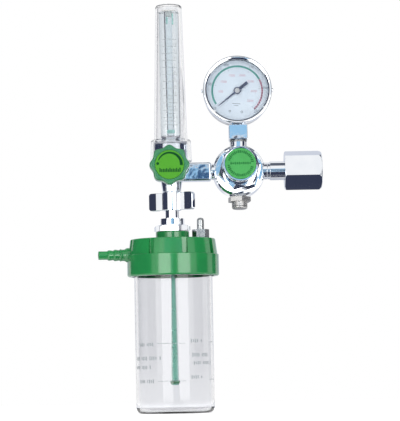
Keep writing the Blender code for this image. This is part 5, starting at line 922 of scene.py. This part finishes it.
humidifier = {
    "wingHub": 8.4, "wingSpan": 21.6, "wingThickness": 5.4, "wingCorner": 2.4, "wingTurn": 30.0,
    "padStart": 13.4, "webTurn": 24.0, "neckHole": 6.25, "threadBore": 7.45, "hubFloor": 4.0,
    "stemBore": 1.8, "tipRadius": 2.9, "tipLength": 4.4, "headRadius": 7.15, "headHeight": 2.4,
    "neckRadius": 5.95, "neckLength": 11.3, "smallFlats": 18.0, "smallTurn": 2.0,
    "smallHeight": 5.2, "threadedRadius": 5.0, "hoseRadius": 2.6, "hoseLength": 5.5,
    "hole": 5.3, "flangeFlats": 27.4, "flangeTurn": -10.0, "sealRadius": 8.5, "sealHeight": 1.5,
    "backFlats": 14.0, "backHeight": 4.5,
    "bossRadius": 14.5, "bossHeight": 6.6, "capTopRadius": 36.8, "gripRadius": 38.6,
    "gripHeight": 13.6, "ringRadius": 39.7, "roof": 3.7, "seatHeight": 14.6, "seatRadius": 30.0,
    "lugs": 8, "recessAngle": 7.5, "recessDepth": 1.6, "capTurn": -7.0, "threadRadius": 35.7,
    "barbTurn": 6.0, "barbReach": 64.8, "barbFoot": 6.3, "barbRadius": 5.0, "barbBore": 2.3,
    "barbPitch": 5.2, "barbTaper": 1.3, "barbTip": 3.7, "pinHole": 5.7,
}


def makeWingNut():
    d = humidifier
    low, high = endsOf("wing_nut")
    hole, thread, floor = d["neckHole"], d["threadBore"], low + d["hubFloor"]
    nut = turnedShape([
        (hole, low, 0.3), (d["wingHub"], low, 0.7), (d["wingHub"], high, 0.7),
        (thread, high, 0.3), (thread, floor), (hole, floor)])
    wings = []
    half = d["wingThickness"] / 2
    for side in (1, -1):  # each wing is a web, with a thumb pad turned further round
        far = d["wingSpan"] * side
        ends = sorted((d["padStart"] * side, far))
        pad = blockShape((ends[0], -half, low + 0.3), (ends[1], half, high - 0.3))
        corners = [e for e in pad.edges if abs(e.verts[0].co.y - e.verts[1].co.y) > 1e-4
                   and abs(e.verts[0].co.x - far * mm) < seam]
        bevelled(pad, corners, d["wingCorner"], 5)
        softenEdges(pad, 0.45, 50, 3)
        wings.append(placed(pad, turnBy(-d["wingTurn"], "Z")))
        ends = sorted((5.0 * side, (d["padStart"] + 1.2) * side))
        web = blockShape((ends[0], -half + 0.6, low + 0.5), (ends[1], half - 0.6, high - 0.5),
                         0.5)
        wings.append(placed(web, turnBy(-d["webTurn"], "Z")))
    nut = shaped(nut, wings, "UNION")
    inside = turnedShape([(0, low - 1), (hole, low - 1), (hole, floor), (thread, floor),
                          (thread, high + 1), (0, high + 1)])
    nut = shaped(nut, [inside], "DIFFERENCE")
    addPiece("wingNut", nut, flowPlace, chrome, ["wing_nut"], "wing_nut")


def makeStem():
    d = humidifier
    bottom, top = endsOf("humidifier_stem")
    head = top - d["tipLength"]
    neckTop = head - d["headHeight"]
    hexTop = neckTop - d["neckLength"]
    hexLow = hexTop - d["smallHeight"]
    hose = bottom + d["hoseLength"]
    corner = blankRadius(d["smallFlats"])
    tip, wide, neck = d["tipRadius"], d["headRadius"], d["neckRadius"]
    stem = turnedShape([
        (d["stemBore"], top), (tip, top, 0.3), (tip, head), (wide, head, 0.3), (wide, neckTop),
        (neck, neckTop), (neck, hexTop), (corner - 0.6, hexTop), (corner, hexTop - 0.6),
        (corner, hexLow, 0.3), (d["threadedRadius"], hexLow), (d["threadedRadius"], hose, 0.3),
        (d["hoseRadius"], hose), (d["hoseRadius"], bottom, 0.3), (d["stemBore"], bottom)])
    millHexagon(stem, d["smallFlats"], d["smallTurn"], 0.5)
    softenEdges(stem, 0.25, 45, 2)
    addPiece("humidifierStem", stem, flowPlace, chrome, ["humidifier_stem"],
             "humidifier")

    low, high = endsOf("flange_nut")
    corner = blankRadius(d["flangeFlats"])
    nut = turnedShape([
        (d["hole"], low), (corner, low, 0.4), (corner, high - 1.9, 1.2),
        (corner - 2.6, high - 0.4, 0.8), (corner - 4.6, high, 0.5), (d["hole"], high)])
    millHexagon(nut, d["flangeFlats"], d["flangeTurn"], 0.15)
    softenEdges(nut, 0.35, 42, 3)
    addPiece("flangeNut", nut, flowPlace, chrome, ["flange_nut"], "humidifier")

    low = lowOf("stem_seal").z
    seal = ringShape(d["hole"], d["sealRadius"], low, low + d["sealHeight"], 64, 0.3, 0.3)
    addPiece("stemSeal", seal, flowPlace, blackRubber, ["stem_seal"], "humidifier")
    low = lowOf("back_nut").z
    nut = ringShape(d["hole"], blankRadius(d["backFlats"]), low, low + d["backHeight"], 64,
                    0.5, 0.5)
    millHexagon(nut, d["backFlats"], 0)
    addPiece("backNut", nut, flowPlace, whiteNylon, ["back_nut"], "humidifier")


def makeBottleCap():
    d = humidifier
    ringLow, bossTop = endsOf("bottle_cap")
    capTop = bossTop - d["bossHeight"]
    ringTop = capTop - d["gripHeight"]
    roof = capTop - d["roof"]
    seat = ringLow + d["seatHeight"]
    ring, thread = d["ringRadius"], d["threadRadius"]
    cap = turnedShape([
        (d["hole"], bossTop), (d["bossRadius"], bossTop, 0.8), (d["bossRadius"], capTop),
        (d["capTopRadius"], capTop, 1.0), (d["gripRadius"], ringTop), (ring, ringTop, 0.5),
        (ring, ringLow, 1.6), (thread, ringLow, 0.3), (thread, seat), (d["seatRadius"], seat),
        (d["seatRadius"], roof), (d["hole"], roof)], 160)
    recesses = []
    half = 37.7 * math.radians(d["recessAngle"]) / 2
    for lug in range(d["lugs"]):
        middle = d["capTurn"] - 90 + (lug + 0.5) * 360 / d["lugs"]
        cut = blockShape((d["capTopRadius"] - d["recessDepth"], -half, ringTop),
                         (d["gripRadius"] + 3, half, capTop + 2), 0.3, 2)
        recesses.append(placed(cut, turnBy(middle, "Z")))
    cap = shaped(cap, recesses, "DIFFERENCE")

    # The barbed outlet, moulded in one with the cap
    outward = moveTo(0, 0, ringTop + 0.2) @ turnBy(d["barbTurn"], "Z") @ turnBy(-90, "Y")
    start = thread + 1
    barrel, foot = d["barbRadius"], d["barbFoot"]
    profile = [(0, start), (foot, start), (foot, ring + 0.3, 0.4), (barrel, ring + 2.6),
               (barrel, ring + 5.2)]
    for ridge in range(3):
        base = ring + 5.2 + ridge * d["barbPitch"]
        neck = barrel - d["barbTaper"] * (ridge + 1) / 3
        profile += [(neck + 0.9, base + 0.3, 0.2), (neck + 0.6, base + 1.1), (neck, base + 1.8)]
    profile += [(d["barbTip"], d["barbReach"], 0.5), (0, d["barbReach"])]
    barb = placed(turnedShape(profile, 64), outward)
    bore = placed(ringShape(0, d["barbBore"], 27.0, d["barbReach"] + 1, 48), outward)
    cap = shaped(cap, [barb], "UNION")
    pinHole = placed(ringShape(0, d["pinHole"], roof - 1, capTop + 1, 48),
                     moveTo(pinX - flowX, 0, 0))
    cap = shaped(cap, [bore, pinHole], "DIFFERENCE")
    addPiece("bottleCap", cap, flowPlace, capGreen, ["bottle_cap"],
             "humidifier", sharpAngle=30)


capRelief = {
    "flats": 12.8, "height": 7.8, "shankRadius": 5.4, "ventRadius": 1.2, "floor": 1.2,
    "springBore": 4.25, "lipBore": 3.35, "lip": 1.4, "pinRadius": 3.05, "pinFoot": 3.95,
    "footHeight": 1.2, "pinRound": 2.4,
}


def makeCapRelief():
    d = capRelief
    low, high = endsOf("cap_relief_base")
    flange = high - d["height"]
    corner = blankRadius(d["flats"])
    floor, lip = low + d["floor"], high - d["lip"]
    vent, shank, spring = d["ventRadius"], d["shankRadius"], d["springBore"]
    base = turnedShape([
        (vent, low), (shank, low), (shank, flange), (corner, flange, 0.3), (corner, high, 0.6),
        (d["lipBore"], high, 0.2), (d["lipBore"], lip), (spring, lip), (spring, floor),
        (vent, floor)], 72)
    millHexagon(base, d["flats"], 0)
    softenEdges(base, 0.2, 45, 2)
    addPiece("capReliefBase", base, pinPlace, greyNickel, ["cap_relief_base"],
             "humidifier")
    low, high = endsOf("cap_relief_pin")
    foot, shaft, step = d["pinFoot"], d["pinRadius"], low + d["footHeight"]
    pin = turnedShape([(0, low), (foot, low), (foot, step), (shaft, step),
                       (shaft, high, d["pinRound"]), (0, high)], 64)
    addPiece("capReliefPin", pin, pinPlace, greyNickel, ["cap_relief_pin"], "cap_pin")


bottle = {
    "radius": 33.8, "wall": 2.0, "baseWall": 2.4, "corner": 4.4, "bandRadius": 35.4,
    "bandHeight": 9.0, "sealHeight": 1.5, "upperLevel": -148.6, "lowerLevel": -180.6,
    "barPitch": 3.4,  # degrees
    "rows": [  # from, to in degrees, height and size of the bars
        (-62, -30, -149.2, 3.2), (-74, -18, -161.0, 3.4), (-74, -36, -168.6, 3.2),
        (-62, -30, -180.6, 3.2), (24, 47, -146.6, 3.2), (26, 62, -158.6, 3.4),
        (28, 66, -165.4, 3.0), (24, 47, -177.4, 3.2)],
}


def makeBottle():
    d = bottle
    base, rim = endsOf("bottle")
    side, band = d["radius"], d["bandRadius"]
    inner = side - d["wall"]
    floor = base + d["baseWall"]
    shape = turnedShape([
        (0, base + 0.9), (22.0, base + 0.5, 2.0), (27.0, base, 1.0), (side, base, d["corner"]),
        (side, rim - d["bandHeight"] - 1.6), (band, rim - d["bandHeight"], 0.5),
        (band, rim, 0.4), (inner, rim, 0.4), (inner, floor, 3.2), (0, floor + 0.5)], 160)
    addPiece("bottle", shape, flowPlace, clearBottle, ["bottle"], "bottle")
    low = lowOf("bottle_seal").z
    addPiece("bottleSeal", ringShape(inner, band, low, low + d["sealHeight"]), flowPlace,
             blackRubber, ["bottle_seal"], "seal")

    def arcBar(start, end, z, height):
        middle = math.radians((start + end) / 2) * side
        return (middle, z, math.radians(end - start) * side, height, 0)

    # Two level lines, with generic rows of bars where such a bottle carries its words
    bars = []
    for level in (d["upperLevel"], d["lowerLevel"]):
        bars += [arcBar(-26, 15, level, 0.35), arcBar(60, 76, level + 1.0, 0.45)]
    pitch = d["barPitch"]
    for start, end, z, tall in d["rows"]:
        for step in range(int((end - start) / pitch)):
            if step % 5 < 4:
                left = start + pitch * step
                bars.append(arcBar(left, left + pitch / 2, z,
                                   tall * (1.0, 0.72, 1.0, 0.86)[step % 4]))
    addPrint("bottleMarks", bentRound(barsShape(bars), side, 0.04), flowPlace, paleInk,
             "bottle")


dipPipe = {
    "socketBore": 2.9, "socketRadius": 4.1, "socketLength": 5.5, "neckRadius": 1.7,
    "neckLength": 3.0, "neckBore": 1.0, "endRadius": 3.2, "endBore": 1.9,
    "collarBore": 3.5, "collarRadius": 4.2, "collarHeight": 2.8,
}


def makeDipTube():
    d = dipPipe
    end, top = endsOf("dip_tube")
    floor = top - d["socketLength"]
    tube = turnedShape([
        (d["socketBore"], top, 0.2), (d["socketRadius"], top, 0.3),
        (d["socketRadius"], floor, 0.4), (d["neckRadius"], floor - d["neckLength"]),
        (d["endRadius"], end, 0.2), (d["endBore"], end), (d["neckBore"], floor),
        (d["socketBore"], floor)], 64)
    addPiece("dipTube", tube, flowPlace, dipGreen, ["dip_tube"], "humidifier")
    low = lowOf("dip_collar").z
    collar = ringShape(d["collarBore"], d["collarRadius"], low, low + d["collarHeight"], 64,
                       0.4, 0.4, 0.2)
    addPiece("dipCollar", collar, flowPlace, capGreen, ["dip_collar"],
             "humidifier")


# The CAD nodes that stay are all inside the regulator, the gauge and the cap
innerFinishes = [
    (springSteel, ["adjusting_screw", "adjusting_spring", "spring_button", "spring_plate",
                   "slip_ring", "return_spring", "relief_spring", "cap_relief_spring"]),
    (brass, ["valve_nozzle", "valve_poppet", "relief_poppet", "pinion_arbor", "sector_gear",
             "gauge_link", "bourdon_tip", "movement_frame"]),
    (copper, ["bourdon_tube"]), (blackRubber, ["diaphragm"]), (whiteNylon, ["gland_packing"]),
]


def dressInnerNodes():
    for finish, names in innerFinishes:
        for name in names:
            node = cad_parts[name]
            if node.material_slots:
                for place in node.material_slots:
                    place.material = finish
            else:
                node.data.materials.append(finish)


# The room round the object, in metres: pale lamps for the light, and cards for the chrome
studio = {
    "floorSize": 0.70, "floorGlow": 0.5, "skyStrength": 0.60, "sideWatts": 4.0, "topWatts": 6.0,
    "pane": (4.5, 4.5, 4.5), "navy": (0.040, 0.048, 0.085), "slate": (0.12, 0.135, 0.17),
    "sky": (0.34, 0.60, 0.84), "deepBlue": (0.030, 0.085, 0.20), "lilac": (0.66, 0.69, 0.77),
    "dimLilac": (0.528, 0.552, 0.616),
    "seenThroughGlass": ["leftCard", "rightCard"], "mottledCard": "middleCard",
}


def stagePiece(name, bm, finish, shownTo):
    mesh = meshFrom(name, bm)
    mesh.materials.append(finish)
    piece = newObject(name, mesh)
    for kind in ("camera", "diffuse", "glossy", "transmission", "volume_scatter", "shadow"):
        setattr(piece, "visible_" + kind, kind in shownTo)


def flatShape(low, high):
    # A flat rectangle between two corners, thin along one axis
    bm = bmesh.new()
    size = [b - a for a, b in zip(low, high)]
    centre = Vector([(a + b) / 2 for a, b in zip(low, high)])
    if size[2] == 0:
        turn, wide, tall = Matrix.Identity(4), size[0], size[1]
    elif size[1] == 0:
        turn, wide, tall = turnBy(90, "X"), size[0], size[2]
    else:
        turn, wide, tall = turnBy(90, "Z") @ turnBy(90, "X"), size[1], size[2]
    bmesh.ops.create_grid(bm, x_segments=1, y_segments=1, size=0.5,
                          matrix=Matrix.Translation(centre) @ turn
                          @ Matrix.Diagonal((wide, tall, 1, 1)))
    return bm


def addCard(name, low, high, colour, fade):
    # A glowing card that gloss shows, and clear walls too where the studio names it, and
    # that fades into the white room at its edges
    d = studio
    finish = bpy.data.materials.new(name)
    finish.use_nodes = True
    tree = finish.node_tree
    tree.nodes.clear()
    place = addNode(tree, "TexCoord").outputs["Object"]
    axis = addNode(tree, "SeparateXYZ", {"Vector": place})
    edges = []
    for letter, a, b in zip("XYZ", low, high):
        if a != b:
            away = mathOf(tree, "ABSOLUTE",
                          mathOf(tree, "SUBTRACT", axis.outputs[letter], (a + b) / 2))
            edges.append(addNode(tree, "MapRange", {
                "Value": away, "From Min": (b - a) / 2, "From Max": (b - a) / 2 - fade},
                interpolation_type="SMOOTHSTEP").outputs["Result"])
    tint = (*colour, 1)
    if name == d["mottledCard"]:
        tint = rampBetween(tree, noiseOf(tree, 11.0, 1.5), d["deepBlue"], colour, 0.40, 0.52)
    blend = addNode(tree, "Mix", data_type="RGBA")
    setInputs(tree, blend, {"A": (1, 1, 1, 1), "B": tint,
                            "Factor": mathOf(tree, "MULTIPLY", *edges)})
    glow = addNode(tree, "Emission", {"Strength": 1.0, "Color": blend.outputs["Result"]})
    addNode(tree, "OutputMaterial", {"Surface": glow.outputs["Emission"]})
    shownTo = ["glossy"] + ["transmission"] * (name in d["seenThroughGlass"])
    stagePiece(name, flatShape(low, high), finish, shownTo)


def seenRays(tree):
    # 1 for what the camera sees, straight or through gloss and glass
    path = addNode(tree, "LightPath").outputs
    straight = mathOf(tree, "MAXIMUM", path["Is Camera Ray"], path["Is Glossy Ray"])
    return mathOf(tree, "MAXIMUM", straight, path["Is Transmission Ray"])


def addLamp(name, spot, target, wide, tall, watts):
    lamp = bpy.data.lights.new(name, "AREA")
    lamp.shape = "RECTANGLE"
    lamp.size = wide
    lamp.size_y = tall
    lamp.energy = watts
    holder = newObject(name, lamp)
    aim = Vector(target) - Vector(spot)
    holder.matrix_world = (Matrix.Translation(spot)
                           @ aim.to_track_quat("-Z", "Y").to_matrix().to_4x4())
    holder.visible_glossy = False
    holder.visible_transmission = False


def makeStudio():
    d = studio
    world = bpy.data.worlds.new("studio")
    bpy.context.scene.world = world
    world.use_nodes = True
    tree = world.node_tree
    tree.nodes.clear()
    light = addNode(tree, "Background", {"Color": (1, 1, 1, 1), "Strength": d["skyStrength"]})
    seen = addNode(tree, "Background", {"Color": (1, 1, 1, 1), "Strength": 1.0})
    mix = addNode(tree, "MixShader", {0: seenRays(tree), 1: light.outputs["Background"],
                                      2: seen.outputs["Background"]})
    addNode(tree, "OutputWorld", {"Surface": mix.outputs["Shader"]})

    floorFinish, tree, shader = newFinish("paleFloor")
    setInputs(tree, shader, {
        "Base Color": (0.9, 0.9, 0.9, 1), "Roughness": 0.9, "Specular IOR Level": 0.0,
        "Emission Color": (1, 1, 1, 1),
        "Emission Strength": mathOf(tree, "MULTIPLY", seenRays(tree), d["floorGlow"])})
    ground = lowOf("bottle").z * mm - 0.0003
    size = d["floorSize"]
    middle = (flowX + 24) * mm
    stagePiece("floor", flatShape((middle - size, -size, ground), (middle + size, size, ground)),
               floorFinish, ("camera", "diffuse", "glossy", "transmission", "shadow"))

    near = ground + 0.002
    body = bodyX * mm - middle
    # Each card's reach across from the middle, in depth and in height, its colour and its fade
    for name, x, y, z, colour, fade in (
            ("floorCard", (-0.11, 0.17), (-0.68, -0.05), (near, near), "navy", 0.04),
            ("nutCard", (0.02, 0.17), (-0.14, 0.035), (near, near), "navy", 0.04),
            ("backFloorCard", (-0.30, 0.30), (0.035, 0.60), (near, near), "dimLilac", 0.02),
            ("boreCard", (body - 0.10, body + 0.12), (0.62, 1.35), (near, near), "navy", 0.03),
            ("backWallCard", (-0.8, 0.8), (1.0, 1.0), (near, 1.1), "lilac", 0.1),
            ("ceilingCard", (-0.5, 0.5), (-0.36, 0.27), (0.62, 0.62), "slate", 0.06),
            ("leftCard", (-0.72, -0.72), (-0.52, 0.66), (-0.20, 0.85), "navy", 0.06),
            ("rightCard", (0.72, 0.72), (-0.47, 0.08), (-0.20, 0.85), "navy", 0.06),
            ("farRightCard", (0.72, 0.72), (0.30, 0.70), (-0.20, 0.85), "navy", 0.04),
            ("leftPane", (-0.78, -0.10), (-1.0, -1.0), (-0.60, 0.26), "pane", 0.03),
            ("rightPane", (0.15, 0.90), (-1.0, -1.0), (-0.60, 0.26), "pane", 0.03),
            ("middleCard", (-0.13, 0.18), (-0.99, -0.99), (-0.60, 0.13), "sky", 0.02),
            ("middleNavyCard", (-0.13, 0.18), (-0.985, -0.985), (0.11, 0.25), "navy", 0.02),
            ("middleSkyCard", (-0.13, 0.18), (-0.98, -0.98), (0.24, 0.42), "sky", 0.02),
            ("bonnetCard", (-0.03, 0.16), (-0.982, -0.982), (-0.17, -0.005), "navy", 0.015),
            ("wideSkyCard", (-0.45, 0.50), (-0.995, -0.995), (0.17, 0.42), "sky", 0.02)):
        addCard(name, (middle + x[0], y[0], z[0]), (middle + x[1], y[1], z[1]), d[colour], fade)
    for side in (1, -1):
        addLamp("sideLamp", (middle + 0.5 * side, -1.0, 0.25), (middle, 0, -0.02), 0.7, 0.9,
                d["sideWatts"])
    addLamp("topLamp", (middle, -0.1, 1.2), (middle, 0, 0), 1.0, 1.0, d["topWatts"])


photoView = {
    "sideways": -16.6, "distance": 2000.0, "height": -176.8,  # from the flow axis, millimetres
    "yaw": 1.17, "pitch": 4.10, "roll": -1.10, "lens": 197.5,
}


def makeCamera():
    d = photoView
    lens = bpy.data.cameras.new("photoCamera")
    lens.lens = d["lens"]
    lens.sensor_width = 36.0
    lens.clip_start = 0.01
    camera = newObject("photoCamera", lens)
    camera.matrix_world = (
        moveTo(flowX + d["sideways"], -d["distance"], d["height"]) @ turnBy(-d["yaw"], "Z")
        @ turnBy(90 + d["pitch"], "X") @ turnBy(d["roll"], "Z"))
    bpy.context.scene.camera = camera


makeCamera()
makeStudio()
bpy.context.scene.view_settings.view_transform = "Standard"
print("studio made")
makeInlet()
makeRegulator()
print("regulator made")
makeGauge()
makeDialPrint()
makePointer()
print("gauge made")
makeFlowBlock()
makeFlowTubes()
makeFlowScale()
makeKnob()
makeNeedleValve()
print("flowmeter made")
makeWingNut()
makeStem()
makeBottleCap()
makeCapRelief()
makeBottle()
makeDipTube()
dressInnerNodes()
print("humidifier made")
